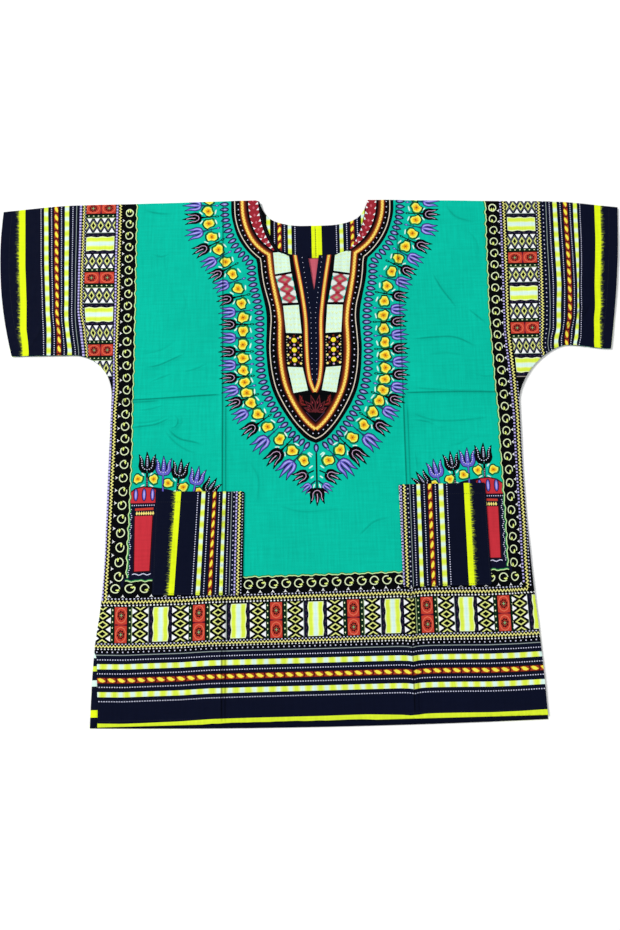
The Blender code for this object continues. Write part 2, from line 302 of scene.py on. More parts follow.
class Band:
    """A straight border.  Its places (s, t) become places on the panel: s runs along it
    and t across it, outwards from its inner line."""

    def __init__(self, paint, kind, base=0.0):
        self.paint = paint
        self.kind = kind
        self.base = base

    def at(self, s, t):
        if self.kind == "bottom":
            return s, self.base - t
        return (-(self.base + t), s) if self.kind == "left" else (self.base + t, s)

    def fill(self, ink, points):
        self.paint.fill(ink, [self.at(s, t) for s, t in points])

    def stripe(self, ink, s0, s1, t0, t1, step=9.0):
        """A stripe along the band, with points often enough to bend with the cloth."""
        count = max(1, int(abs(s1 - s0) / step))
        s = np.linspace(s0, s1, count + 1)
        if self.kind == "bottom":
            s = np.unique(np.concatenate([s, [a for a in KINK if s0 < a < s1]]))
        self.fill(ink, [(a, t0) for a in s] + [(a, t1) for a in s[::-1]])

    def dots(self, ink, s0, s1, t, pitch, size, tall=1.0):
        """A row of small square dots along the band."""
        a, b = 0.84 * size, 0.84 * size * tall
        for i in range(int((s1 - s0) / pitch)):
            s = s0 + (i + 0.5) * pitch
            self.fill(ink, box(s - a, s + a, t - b, t + b))

    def zigzag(self, s0, s1, t, pitch=4.95, reach=1.7, thick=2.3):
        """A zigzag ribbon, one four-sided piece for each straight part."""
        half, h = pitch / 2.0, thick / 2.0
        for i in range(int((s1 - s0) / half)):
            a, b = s0 + i * half, s0 + (i + 1) * half
            p, q = (t + reach, t - reach) if i % 2 else (t - reach, t + reach)
            self.fill("zigzag", ((a, p - h), (b, q - h), (b, q + h), (a, p + h)))

    def blocks(self, s0, s1, t0, t1, pitch=17.1):
        """The lime and white stripe, its blocks running softly into each other."""
        self.stripe("mint", s0, s1, t0, t1)
        for i in range(int((s1 - s0) / pitch) + 1):
            a = s0 + i * pitch
            lean = 1.4 * (noise(i + t0) - 0.5)
            long = (0.44 + 0.06 * noise(i * 3 + t1)) * pitch
            for ink, grown in (("limewhite", 2.2), ("limepale", 0.8), ("lime", -1.2)):
                start, stop = -grown, long + grown
                self.fill(ink, (
                    (a + start, t0), (a + stop + lean, t0), (a + stop - lean, t1), (a + start, t1),
                ))

    def rope(self, s0, s1, t0, t1, pitch, way=1.0):
        """The twisted stripe: pointed straw drops, each with an ember side, on rust."""
        middle, half = (t0 + t1) / 2.0, (t1 - t0) / 2.0
        self.stripe("deep", s0, s1, t0 - 1.0, t1 + 1.0)
        self.stripe("rust", s0, s1, t0, t1)
        k = pitch / ROPE_PITCH
        for i in range(int((s1 - s0) / pitch) + 1):
            a = s0 + i * pitch if way > 0 else s1 - i * pitch
            for ink, outline in ROPE_STRANDS:
                self.fill(ink, [(a + way * k * u, middle + half * v) for u, v in outline])

    def ragged(self, s0, s1, t0, t1):
        """The bright stripe, whose outer edge is frayed in the print."""
        places = [s0 + FRAY_PITCH * i for i in range(int((s1 - s0) / FRAY_PITCH))]
        for i, s in enumerate(places):
            reach = 3.4 + 4.6 * noise(i * 1.7 + t0)
            self.fill("olive", ((s, t1 - 0.5), (s + 0.6 + noise(i), t1 + reach), (s + 1.7, t1 - 0.5)))
        self.stripe("bright", s0, s1, t0, t1)
        for i, s in enumerate(places):
            s += 0.9
            reach = 1.2 + 4.2 * noise(i * 2.3 + t1) ** 1.5
            self.fill("bright", ((s, t1 - 0.3), (s + 0.2 + noise(i + 9.1), t1 + reach), (s + 1.5, t1 - 0.3)))

    def scallop(self, s0, s1, pitch, inwards=12.0):
        """The pale line that parts the border from the field, in shallow arcs."""
        count = int((s1 - s0) / pitch * 7)
        places = []
        for i in range(count + 1):
            s = s0 + (s1 - s0) * i / count
            turn = TURN * (s - s0) / pitch
            wave = 0.5 + 0.5 * math.cos(turn) + 0.35 * math.sin(1.9 * turn)
            places.append((s, 0.9 - SCALLOP_REACH * wave))
        self.fill("black", places + [(s1, inwards), (s0, inwards)])
        self.paint.line("green", [self.at(s, t - 0.9) for s, t in places], 2.2)
        self.paint.line("scallop", [self.at(s, t) for s, t in places], 1.35)

    def curl(self, s, t, look):
        """An open ring that ends in a small leaf.  look is the angle of its opening."""
        points = []
        for i in range(14):
            a = look + (0.2 + (TURN - 0.75) * i / 13.0)
            r = 6.15 * (1.0 + 0.10 * math.cos(a - look) ** 3)
            points.append(self.at(s + r * math.cos(a), t + 0.96 * r * math.sin(a)))
        self.paint.line("curl", points, 1.5)
        facing = 1.0 if math.cos(look) > 0 else -1.0
        u, v = s + 4.6 * math.cos(look), t + 3.8 * math.sin(look)
        self.fill("bud", [(u + 0.86 * facing * a, v + 0.86 * b) for a, b in CURL_LEAF])

    def curls(self, places, t, looks):
        for i, s in enumerate(places):
            self.curl(s, t, looks[i % 2])

    def barbs(self, places, t):
        """Small white darts between the curls."""
        for s in places:
            self.fill("white", [(s + u, t + v) for u, v in BARB])


# --- the patched band between the two zigzags ------------------------------------------
# the pitch of the red patches along the band
PATCH = 113.0


def diamonds(band, s, t0, t1, half, grey):
    """A column of ringed diamonds, with white darts from both sides between them."""
    middle, pitch = (t0 + t1) / 2.0, (t1 - t0) / 3.92
    edge = half + 2.6
    band.fill("black", box(s - edge, s + edge, t0, t1))
    for i in range(-2, 2):
        t = middle + (i + 0.5) * pitch
        for side in BOTH_WAYS:
            far, near, tall = s + side * edge, s + side * (edge - half * 0.78), pitch * 0.35
            band.fill("white", ((far, t - tall), (near, t), (far, t + tall)))
    rings = (("diamond", half * 0.94, 0.43), ("black", half * 0.58, 0.27))
    if grey:
        rings = (
            ("slate", half + 1.0, 0.60), ("black", half - 0.6, 0.48),
            ("diamond", half * 0.84, 0.40), ("black", half * 0.48, 0.23),
        )
    for ink, wide, tall in rings:
        for i in range(-2, 3):
            outline = lozenge(s, middle + i * pitch, wide, pitch * tall)
            band.fill(ink, kept_low_high(outline, t0, t1))


def kept_low_high(points, low, high):
    """The part of a shape whose second number lies between two limits."""
    return [(x, y) for y, x in kept_between([(y, x) for x, y in points], low, high)]


def medallions(band, s, t0, t1, half):
    """The red patch: two round medallions, each with a small flower, and a waisted bar."""
    band.fill("brick", box(s - half, s + half, t0, t1))
    step = (t1 - t0) / 2.0
    tall = step * 0.38
    star = []
    for j in range(16):
        a, r = TURN * (j + 0.5) / 16, 1.0 if j % 2 else 0.76
        star.append((r * half * 0.68 * math.cos(a), r * tall * 0.76 * math.sin(a)))
    for i in (0, 1):
        t = t0 + (0.46 + i * 1.08) * step
        for ink, shape in (
            ("coral", ring(0, 0, half - 0.5, step * 0.45, 10, 0.31)),
            ("brick", ring(0, 0, half - 1.6, step * 0.40, 10, 0.31)),
            ("deep", star),
            ("brick", ring(0, 0, half * 0.42, tall * 0.48, 7, 0.2)),
            ("deep", ring(0, 0, half * 0.33, tall * 0.37, 7, 0.2)),
            ("sage", lozenge(0, 0, half * 0.32, 1.2)),
            ("sage", lozenge(0, 0, 1.1, tall * 0.34)),
        ):
            band.fill(ink, [(s + u, t + v) for u, v in shape])
    t = (t0 + t1) / 2.0
    bar = (
        (-1.0, -1.6), (-0.4, -0.5), (0.4, -0.5), (1.0, -1.6),
        (1.0, 1.6), (0.4, 0.5), (-0.4, 0.5), (-1.0, 1.6),
    )
    band.fill("plum", [(s + half * u, t + v) for u, v in bar])


def lit_patch(band, s, t0, t1, half):
    """The yellow patch: a mint middle between two lime bars, in a pale wavy edge."""
    t0 += 0.8
    t1 -= 0.8

    def waved(reach, depth, inset, count=12):
        edge = []
        for side in BOTH_WAYS:
            for i in range(count + 1):
                share = i / count if side < 0 else 1 - i / count
                wave = depth * math.sin(share * TURN * 2.5 + side)
                edge.append((s + side * (reach + wave), t0 + inset + (t1 - t0 - 2 * inset) * share))
        return edge

    band.fill("limewhite", waved(half, 0.8, 0.0))
    band.fill("lime", waved(half - 1.5, 0.5, 1.0, 8))
    core = half * 0.24
    band.fill("limepale", waved(core + 2.2, 0.5, 0.2, 6))
    band.fill("limewhite", waved(core + 1.1, 0.5, 0.2, 6))
    band.fill("mint", waved(core, 0.3, 0.2, 4))


def patches(band, first, last, t0, t1, origin, k=1.0, mirror=1.0, grey=False):
    """The patched band from first to last.  origin is the middle of one red patch."""
    def shows(s, half):
        return s - half > first - 12 and s + half < last + 12

    def beaded(s, ink, half, bead, wide, tall):
        """A narrow bar with six beads on it."""
        if shows(s, 2):
            band.stripe(ink, s - half, s + half, t0, t1)
            for i in range(6):
                band.fill(bead, ring(s, t0 + (i + 0.5) * (t1 - t0) / 6, wide, tall, 4))

    start = int((first - origin) / (PATCH * k)) - 1
    for n in range(start, start + int((last - first) / (PATCH * k)) + 4):
        red = origin + n * PATCH * k
        put = lambda u: red + mirror * k * u
        if shows(red, 9):
            medallions(band, red, t0, t1, 8.7 * k)
        for u in (12.6, 100.4):
            beaded(put(u), "leafline", 2.4, "limewhite", 1.05, 1.45)
        for u, ink in ((16.0, "sage"), (39.9, "grey"), (75.4, "blush"), (97.0, "sage")):
            if shows(put(u), 1):
                band.stripe(ink, put(u) - 0.7, put(u) + 0.7, t0, t1)
        for u in (28.0, 86.2):
            if shows(put(u), 9):
                diamonds(band, put(u), t0, t1, 9.0 * k, grey)
        for u in (43.9, 71.6):
            beaded(put(u), "ink", 2.3, "dusk", 0.7, 2.2)
        if shows(put(57.8), 10):
            lit_patch(band, put(57.8), t0, t1, 11.2 * k)


# --- flowers ----------------------------------------------------------------------------
def petal(knots, widths, longer=0.0):
    """A petal round a bent middle line, with a width at each of its knots."""
    knots = np.asarray(knots, float)
    if longer:
        way = knots[-1] - knots[-2]
        knots = np.vstack([knots[:-1], knots[-1] + way / np.linalg.norm(way) * longer])
    line = spline(knots, 4.2)
    share = lengths(line) / lengths(line)[-1]
    half = np.interp(share, lengths(knots) / lengths(knots)[-1], widths)
    ahead = unit(np.gradient(line, axis=0))
    aside = np.stack([-ahead[:, 1], ahead[:, 0]], 1) * half[:, None]
    points = list(line + aside) + list((line - aside)[::-1])
    return [p for i, p in enumerate(points) if np.hypot(*(p - points[i - 1])) > 0.05]


# a flower's petals: the middle line, the widths of its edge, and those of a dotted one's body
TULIP_SIDE = ((0.4, 0.6), (4.6, 2.4), (7.1, 8.2), (6.9, 15.0), (9.6, 22.4))
TULIP_PETALS = (
    (TULIP_SIDE, (2.4, 3.5, 3.5, 2.9, 0.4), (1.1, 2.3, 2.1, 1.4, 0.0)),
    (mirrored(TULIP_SIDE, -1.0), (2.4, 3.5, 3.5, 2.9, 0.4), (1.1, 2.3, 2.1, 1.4, 0.0)),
    (((0.0, 2.0), (-0.2, 9.5), (-0.3, 16.0), (0.4, 25.6)), (3.0, 3.7, 3.2, 0.4), (2.0, 2.3, 1.7, 0.0)),
)
TULIP_CUP = (
    (-7.6, 18.5), (-5.9, 13.0), (-5.9, 8.0), (-3.6, 4.0),
    (0.0, 2.6), (3.6, 4.0), (5.9, 8.0), (5.9, 13.0), (7.6, 18.5),
)
TULIP_DOTTED_CUP = (
    (8.4, 21.0), (6.3, 15.5), (6.4, 10.0), (4.6, 5.4), (0.0, 3.2),
    (-4.6, 5.4), (-6.4, 10.0), (-6.3, 15.5), (-8.4, 21.0),
)
TULIP_HEART = ((0, 5.0), (1.5, 10.0), (1.1, 16.0), (0, 21.0), (-1.1, 16.0), (-1.5, 10.0))


def tulip(paint, x, y, ux, uy, dark, scale=1.0, flip=1.0, wide=1.0, dotted=False):
    """An upright flower of three pointed petals on a rounded cup."""
    put = lambda points: stand([(wide * u, v) for u, v in points], x, y, ux, uy, scale, flip)
    edge, body, vein = ("black", "ink", "shell") if dark else ("indigo", "violet", "lavender")
    for line, widths, _ in TULIP_PETALS:
        paint.fill(edge, put(petal(line, widths, 1.3)))
    if dotted:
        if dark:
            paint.fill("slate", put(TULIP_HEART))
        else:
            for line, _, widths in TULIP_PETALS:
                paint.fill(body, put(petal(line, widths)))
        for knots in (TULIP_DOTTED_CUP, ((0.0, 8.0), (0.0, 15.5), (0.1, 23.0))):
            for px, py, _, _ in stations(spline(knots, 2.4), 2.9, 1.0):
                paint.fill("dots", put(ring(px, py, 0.78, 0.9, 4)))
    elif dark:
        paint.line(vein, put(TULIP_CUP), 0.95)
        paint.line(vein, put([(0.0, 8.0), (-0.6, 14.0), (0.2, 21.0)]), 1.2)
    else:
        for line, widths, _ in TULIP_PETALS:
            slim = [max(w - 1.25, 0.0) for w in widths]
            paint.fill(body, put(petal(line, slim, -0.6)))
            paint.fill(vein, put(petal(line, [max(w - 1.45, 0.0) for w in slim], -2.4)))


BLOOMS = (
    (
        (-8.4, -1.0), (-6.0, 3.0), (-3.2, 6.4), (0.4, 8.2), (3.6, 7.2), (5.4, 3.4),
        (8.6, 0.4), (6.6, -3.8), (3.0, -6.6), (-1.2, -5.6), (-5.2, -6.4),
    ), (
        (-7.6, -3.0), (-7.0, 1.6), (-3.6, 4.4), (-1.4, 8.4), (3.0, 7.4), (6.6, 4.6),
        (7.4, 0.2), (5.6, -3.4), (2.2, -4.6), (-1.4, -7.4), (-5.0, -5.6),
    ),
)
BLOOM_HEART = (
    (-5.4, -0.8), (-3.4, 1.2), (-3.6, 4.0), (-0.8, 3.0), (1.0, 5.6), (2.0, 2.4),
    (5.0, 2.2), (3.6, -0.6), (4.6, -3.4), (1.4, -3.0), (-0.8, -4.8), (-2.0, -2.6),
)
BLOOM_EYE = (
    (-4.0, 0.4), (-1.0, 0.7), (-0.4, 3.8), (0.5, 0.7), (3.2, 0.8), (0.9, -0.5), (1.2, -2.8), (-0.5, -0.6),
)


def rosette(paint, x, y, ux, uy, turn=0.0, scale=1.0):
    """A yellow bloom with an amber heart and green leaves under its edge."""
    c, s = math.cos(turn), math.sin(turn)
    outline = BLOOMS[int(100.0 * abs(turn)) % 2]
    for ink, points, size, du, dv in (
        ("leafline", outline, 1.25, 0.4, -0.4),
        ("green", outline, 1.06, 0.7, -0.6), ("pale", outline, 0.92, 0.0, 0.0),
        ("yellow", outline, 0.72, 0.0, 0.0), ("olivegold", BLOOM_HEART, 0.84, 0.0, 0.0),
        ("brown", BLOOM_EYE, 0.78, 0.0, 0.0),
    ):
        turned = [(size * (u * c - v * s) + du, size * (u * s + v * c) + dv) for u, v in points]
        paint.fill(ink, stand(turned, x, y, ux, uy, scale))


# one half of a seed's outline, across and along
SEED_SIDE = ((0.66, -0.72), (1.0, -0.3), (0.92, 0.3), (0.52, 0.72))


def seed(paint, x, y, ux, uy):
    """A small pointed drop: a dark edge, a lilac body and a light middle."""
    drop = [(0.0, -1.0), *SEED_SIDE, (0.0, 1.1), *mirrored(SEED_SIDE[::-1], -1.0)]
    for ink, long, wide in (("indigo", 7.8, 4.2), ("seed", 5.0, 2.0)):
        paint.fill(ink, stand([(wide * u, long * v) for u, v in drop], x, y, ux, uy))
    middle = ((-0.7, -2.2), (0.4, -2.7), (0.8, 0.4), (0.1, 2.3), (-0.8, 0.8))
    paint.fill("lavender", stand(middle, x, y, ux, uy))


DASH = ((-0.5, -0.28), (0.0, -0.5), (0.5, -0.28), (0.5, 0.28), (0.0, 0.5), (-0.5, 0.28))


def dash(paint, x, y, ux, uy, long=8.0, wide=1.9):
    """A short light stroke between flowers."""
    paint.fill("ice", stand([(wide * u, long * v) for u, v in DASH], x, y, ux, uy))


# --- the yoke round the neck: half of it, from the shoulder to the tip -------------------
# each is how far out from the middle line, and how high
YOKE_EDGE_TOP = (
    (130, 416), (129.5, 385), (125, 363), (119, 345),
    (111.5, 331), (103.5, 320), (94.5, 310), (88.5, 304.5),
)
YOKE_EDGE = (
    (88.5, 304.5), (86.5, 296), (85.5, 280), (82.5, 262),
    (78, 242), (74, 222), (72.5, 205), (73, 180), (74, 160),
    (73, 140), (71.5, 122), (69, 105), (64.5, 88), (57.5, 71),
    (50.5, 58), (39, 40), (25, 21), (13, 9.5), (0, 3.5),
)
CREAM_TOP = (
    (124.5, 416), (123.5, 383), (119, 361), (113, 346),
    (106, 333.5), (97.5, 321.5), (88.5, 312), (81.5, 306),
)
CREAM = (
    (81.5, 306), (80, 296), (79, 283), (76, 262), (71.5, 243), (67.3, 225), (65.5, 205), (67, 180), (68, 155),
    (66.5, 130), (63.5, 110), (58.5, 90), (50.5, 71.5), (41, 54), (31, 38.5), (21, 26.5), (10, 16), (0, 10.5),
)
CORD_TOP = ((112, 416), (110.5, 385), (105.5, 363), (98, 345), (89, 331.5), (78.5, 321), (67.5, 313))
CORD = (
    (67.5, 313), (66, 298), (64, 280), (61, 262), (57, 240),
    (53.5, 222), (51.3, 200), (51.6, 180), (51.8, 155),
    (50.5, 135), (48.5, 118), (45.5, 102), (40.5, 86), (31.5, 66.5), (20.5, 48), (10, 35), (0, 26),
)
PLACKET = (
    (27, 313), (24.5, 296), (21.8, 280), (17.2, 250), (13.2, 218),
    (11.6, 195), (11.2, 160), (10.2, 128), (7.6, 106), (4.0, 93), (0, 84.5),
)
FLOWER_LINE = (
    (165.5, 424), (166, 380), (159.5, 346), (137.5, 304),
    (122.5, 274), (112.5, 237), (109, 205), (109.5, 160),
    (109, 125), (106, 95), (96, 66), (71, 29), (37, -6), (17, -24), (0, -33),
)

# how far along that line, from its foot, each flower of the ring stands
FLOWER_PLACES = (
    32, 57, 85, 110, 134, 152, 169, 187, 206.5, 227.5, 249.5,
    272, 294, 319, 345.5, 370.5, 394, 419, 444, 466.5, 487,
)


def joined(top, rest, step=4.0):
    """Two curves that meet in a corner, as one line."""
    return np.vstack([spline(top, step)[:-1], spline(rest, step)])


def loop(top, rest):
    """The closed outline of the yoke inside one of its curves, from the left to the right."""
    half = joined(top, rest)
    return [(-x, y) for x, y in half] + [(x, y) for x, y in half[::-1][1:]]


def yoke(paint):
    """The bands round the neck and down to the tip."""
    paint.fill("black", loop(YOKE_EDGE_TOP, YOKE_EDGE))
    cream = joined(CREAM_TOP, CREAM)
    paint.lines([("creamline", 1.45)], cream)
    # dots between the cream line and the cord
    for x, y, _, _ in stations(both_sides(cream, 5.6)[1], 9.4, 6.0, 4.0):
        for sign in BOTH_WAYS:
            paint.dot("dots", sign * x, y, 1.15)
    # the cord: a dark edge, brown, gold, and short slanted strands
    cord = joined(CORD_TOP, CORD)
    for ink, width, aside in (
        ("deep", 12.4, -0.3), ("maroon", 10.4, -0.2),
        ("cordbrown", 8.4, 0.2), ("amber", 6.2, 0.6), ("gold", 4.0, 0.8),
    ):
        paint.lines([(ink, width)], both_sides(cord, aside)[0])
    for i, (x, y, dx, dy) in enumerate(stations(both_sides(cord, 0.8)[0], 2.7, 1.0, 2.0)):
        aside = 1.3 if i % 2 else -1.3
        for sign in BOTH_WAYS:
            strand = box(aside - 0.55, aside + 0.55, -0.5, 0.5)
            paint.fill("brown", stand(strand, sign * x, y, sign * dx, dy, 1.0, sign))


def neck_band(paint):
    """The wine band beside the neckline, on each side, with its white darts."""
    outer = [(103.5, 416), (101, 385), (95.5, 363), (88.5, 348), (80.5, 336.5), (71, 327), (61.5, 319)]
    inner = [(88, 416), (85, 385), (80, 362), (74.8, 347), (69.3, 336), (63.8, 327), (59.6, 320)]
    middle = spline([((p[0] + q[0]) / 2, (p[1] + q[1]) / 2) for p, q in zip(outer, inner)], 3.0)
    for sign in BOTH_WAYS:
        a, b = spline(mirrored(outer, sign), 5.0), spline(mirrored(inner, sign), 5.0)
        paint.fill("wine", list(a) + list(b[::-1]))
        for line, side, size, pitch in ((outer, -1.0, 2.4, 11.0), (inner, 1.0, 3.6, 10.0)):
            for i, (x, y, dx, dy) in enumerate(stations(spline(line, 3.0), pitch, 4.0, 6.0)):
                nx, ny = dy * side, -dx * side
                tall = size if i % 2 else size * 0.8
                dart = [
                    (x - dx * 2.3, y - dy * 2.3), (x + dx * 2.3, y + dy * 2.3),
                    (x - nx * tall * 1.3 + dx * 1.8, y - ny * tall * 1.3 + dy * 1.8),
                ]
                paint.fill("white", mirrored(dart, sign))
        for x, y, _, _ in stations(middle, 13.0, 9.0, 14.0):
            paint.fill("rose", mirrored(ring(x, y, 1.8, 2.6, 6), sign))


CELLS = (
    # four corners of each cell on the right side: low in, low out, high out, high in
    ("plain", (33.5, 283), (58.5, 279), (61.5, 316), (36.5, 311)),
    ("trellis", (23.5, 231), (47.5, 230.5), (58, 275.5), (32.5, 279.5)),
    ("plain", (18.5, 180), (42.8, 181), (46.5, 226), (22.3, 227)),
    ("garden", (18, 128), (42, 129), (42.6, 177), (18.3, 176)),
    ("plain", (10.5, 87), (32.5, 83), (41, 125.5), (18, 124)),
)


def inside(corners, u, v):
    """A place inside a four-cornered cell: u across and v up, from 0 to 1."""
    a, b, c, d = corners
    low = ((1 - u) * a[0] + u * b[0], (1 - u) * a[1] + u * b[1])
    high = ((1 - u) * d[0] + u * c[0], (1 - u) * d[1] + u * c[1])
    return (1 - v) * low[0] + v * high[0], (1 - v) * low[1] + v * high[1]


# for the cells, whose places go from 0 to 1 across and up
UNIT_SQUARE = ((0, 0), (1, 0), (1, 1), (0, 1))
THIRDS = (0.0, 1 / 3, 2 / 3, 1.0)
CHEVRON = ((-0.11, 0.05), (-0.05, 0.055), (0.0, 0.0), (0.05, 0.055), (0.11, 0.05), (0.0, -0.05))

# how much flatter a round is drawn in a cell, so that it looks round in the cloth
CELL_FLATTENING = 0.5


def plain_cell(fill, top):
    """A pale cell with rows of small hollow chevrons.  The top one reaches the neckline."""
    rounded = ((0, 0), (1, 0), (1.0, 0.99), (0.62, 1.06), (0.2, 0.99), (0, 0.9))
    fill("celadon", rounded if top else UNIT_SQUARE)
    for i in range(5):
        for j in range(4):
            u, v = (j + 0.5) / 4, (i + 0.45 + 0.12 * (j % 2)) / 5.0
            fill("ivory", [(u + a, v + b) for a, b in CHEVRON])


def trellis_cell(fill):
    """Three red diamonds between pale darts."""
    fill("grey", UNIT_SQUARE)
    for v in THIRDS:
        for u in (0.0, 1.0):
            low, high = max(v - 0.13, 0.0), min(v + 0.13, 1.0)
            fill("chalk", ((u, low), (abs(u - 0.42), v), (u, high)))
    for i in range(3):
        v = (i + 0.5) / 3
        fill("teal", ((0.0, v - 0.1), (0.12, v), (0.0, v + 0.1)))
        fill("teal", ((1.0, v - 0.1), (0.88, v), (1.0, v + 0.1)))
        fill("crimson", ((0.03, v), (0.5, max(v - 0.19, 0.0)), (0.97, v), (0.5, min(v + 0.19, 1.0))))
        fill("rose", lozenge(0.5, v, 0.26, 0.095))
        fill("sage", lozenge(0.5, v, 0.14, 0.05))
    for v in THIRDS[1:-1]:
        fill("wine", lozenge(0.5, v, 0.20, 0.05))
    fill("wine", ((0.3, 0.0), (0.7, 0.0), (0.5, 0.05)))
    fill("wine", ((0.3, 1.0), (0.5, 0.95), (0.7, 1.0)))


def garden_cell(fill):
    """Three yellow rounds, each in a ring of beads, between two rows of dots."""
    fill("black", UNIT_SQUARE)
    for i in range(3):
        v = (i + 0.5) / 3
        for a in range(6):
            turn = TURN * (a + 0.5) / 6
            u, w = 0.5 + 0.30 * math.cos(turn), v + 0.30 * CELL_FLATTENING * math.sin(turn)
            fill("cordbrown" if a % 2 else "shell", ring(u, w, 0.075, 0.075 * CELL_FLATTENING, 5, turn))
        fill("yellow", ring(0.5, v, 0.17, 0.17 * CELL_FLATTENING, 8, 0.3))
        fill("lime", ring(0.5, v, 0.08, 0.08 * CELL_FLATTENING, 5))
    for v in THIRDS:
        for u in (0.1, 0.9):
            fill("straw", ring(u, min(max(v, 0.05), 0.95), 0.085, 0.045, 5, 0.4))
        if 0 < v < 1:
            fill("shell", lozenge(0.5, v, 0.1, 0.028))
    for i in range(10):
        for u in (0.03, 0.97):
            v = (i + 0.5) / 10
            fill("cream", box(u - 0.02, u + 0.02, v - 0.014, v + 0.014))


def cells(paint):
    """The column of cells on each side of the placket."""
    for sign in BOTH_WAYS:
        for kind, *corners in CELLS:
            place = lambda points: mirrored([inside(corners, u, v) for u, v in points], sign)
            fill = lambda ink, points: paint.fill(ink, place(points))
            if kind == "plain":
                plain_cell(fill, corners == list(CELLS[0][1:]))
            elif kind == "trellis":
                trellis_cell(fill)
            else:
                garden_cell(fill)


def tip(paint):
    """Below the cells: a fan of plain petals over a thin chevron."""
    for angle, long in ((-1.12, 20), (-0.68, 25), (-0.23, 30), (0.23, 30), (0.68, 25), (1.12, 20)):
        for ink, shape in (
            ("tipwine", petal([(0, 3), (0.8, long * 0.5), (0, long)], (0.6, 4.4, 0.0))),
            ("black", petal([(0, 6), (0.5, long * 0.52), (0, long - 4)], (0.3, 2.3, 0.0))),
            ("crimson", ring(0, long * 0.56, 0.6, 3.0, 4)),
        ):
            paint.fill(ink, stand(shape, 0, 51, math.sin(angle), math.cos(angle)))
    paint.fill("tipwine", ring(0, 53.5, 2.4, 2.4, 6))
    for sign in BOTH_WAYS:
        paint.line("dusk", [(sign * 14.0, 52.5), (sign * 7.0, 44.5), (0, 37.5)], 0.9)
        for angle, long, x, y in ((0.5, 15, 17, 68), (1.1, 14, 13, 63), (-0.2, 13, 22, 66)):
            ux, uy = sign * math.sin(angle), math.cos(angle)
            put = lambda points: stand(points, sign * x, y, ux, uy, 1.0, sign)
            paint.fill("maroon", put(petal([(0, 0), (1.2, long * 0.5), (0, long)], (0.4, 2.8, 0.0))))
            paint.line("wine", put([(0, 2), (0.9, long * 0.5), (0.2, long - 3)]), 0.9)


def placket(paint):
    """The navy strip down the middle, its gold edges and its rows of dots."""
    half = spline(PLACKET, 4.0)
    paint.lines((("deep", 9.4), ("rust", 7.2), ("amber", 5.0), ("gold", 3.2)), half)
    for x, y, dx, dy in stations(half, 3.3, 1.0, 2.0):
        for sign in BOTH_WAYS:
            strand = box(-0.45, 0.45, -0.45, 0.45)
            paint.fill("brown", stand(strand, sign * x, y, sign * dx, dy, 1.0, sign))
    core = [(max(x, 0.0), y) for x, y in both_sides(half, 3.1)[1] if y > 91]
    paint.fill("navy", mirrored(core, -1.0) + [(0, 88)] + core[::-1])
    for i in range(25):
        y = 104.5 + 8.4 * i
        x = 3.6 + max(0.0, y - 212) * 0.128
        for sign in BOTH_WAYS:
            paint.dot("dots", sign * x, y, 0.66)


# the stem that a flower of the ring stands on: places outwards along it, then aside
STEM = (
    (-15, -0.5), (-7, -0.9), (-3.4, -0.9), (-2.4, -2.2), (-1.0, -1.1), (6, -1.1), (9, -1.9), (14, -2.3),
    (14, 2.3), (9, 1.9), (6, 1.1), (-1.0, 1.1), (-2.4, 2.4), (-3.4, 0.9), (-7, 0.9), (-15, 0.5),
)

# the lower flowers beside the foot of the ring: dark or not, root, foot, direction and size
FOOT_FLOWERS = (
    (True, (4.0, -38.5), (14.0, -43.0), (0.905, -0.425), 0.95),
    (False, (2.0, -54.0), (9.5, -60.0), (0.78, -0.63), 0.66),
)

# the strokes there: place, direction and length
FOOT_DASHES = (
    (8.5, -12.5, 0.8, 0.6, 8.0), (8.5, -33.0, 0.8, -0.6, 8.0),
    (7.0, -48.5, 0.8, -0.6, 6.5), (4.4, -62.0, 0.3, -0.95, 7.0),
)


def slanted_dash(paint, sign, x, y, ux, uy, *sizes):
    """A stroke on one half, along a direction of any length."""
    size = math.hypot(ux, uy)
    dash(paint, sign * x, y, sign * ux / size, uy / size, *sizes)


def ring_flower(paint, place, dark):
    """A flower of the ring on each side, on a stem with a bud at its foot."""
    x, y, dx, dy = place
    nx, ny = dy, -dx
    turn = math.atan2(ny, nx)
    size = 0.98 + 0.22 * float(1.0 - smooth(0.0, 70.0, y)) + 0.08 * float(smooth(290.0, 340.0, y))
    stem = [(x + nx * a + dx * b, y + ny * a + dy * b) for a, b in STEM]
    inks = ("black", "leafline", "teal") if dark else ("branch", "steel", "lavender")
    for sign in BOTH_WAYS:
        paint.fill(inks[0], mirrored(stem, sign))
        for ink, wide, tall, corners in ((inks[1], 4.0, 2.0, 6), (inks[2], 2.0, 0.8, 4)):
            bud = ring(x - nx * 13.5, y - ny * 13.5, wide, tall, corners, 0.0, turn)
            paint.fill(ink, mirrored(bud, sign))
        if dark:
            for way in BOTH_WAYS:
                slanted_dash(
                    paint, sign, x + nx * 11.5 + way * dx * 8.0, y + ny * 11.5 + way * dy * 8.0,
                    way * dx + 0.9 * nx, way * dy + 0.9 * ny,
                )
        tulip(paint, sign * (x + nx * 12.0), y + ny * 12.0, sign * nx, ny, dark, size, sign, 0.92)


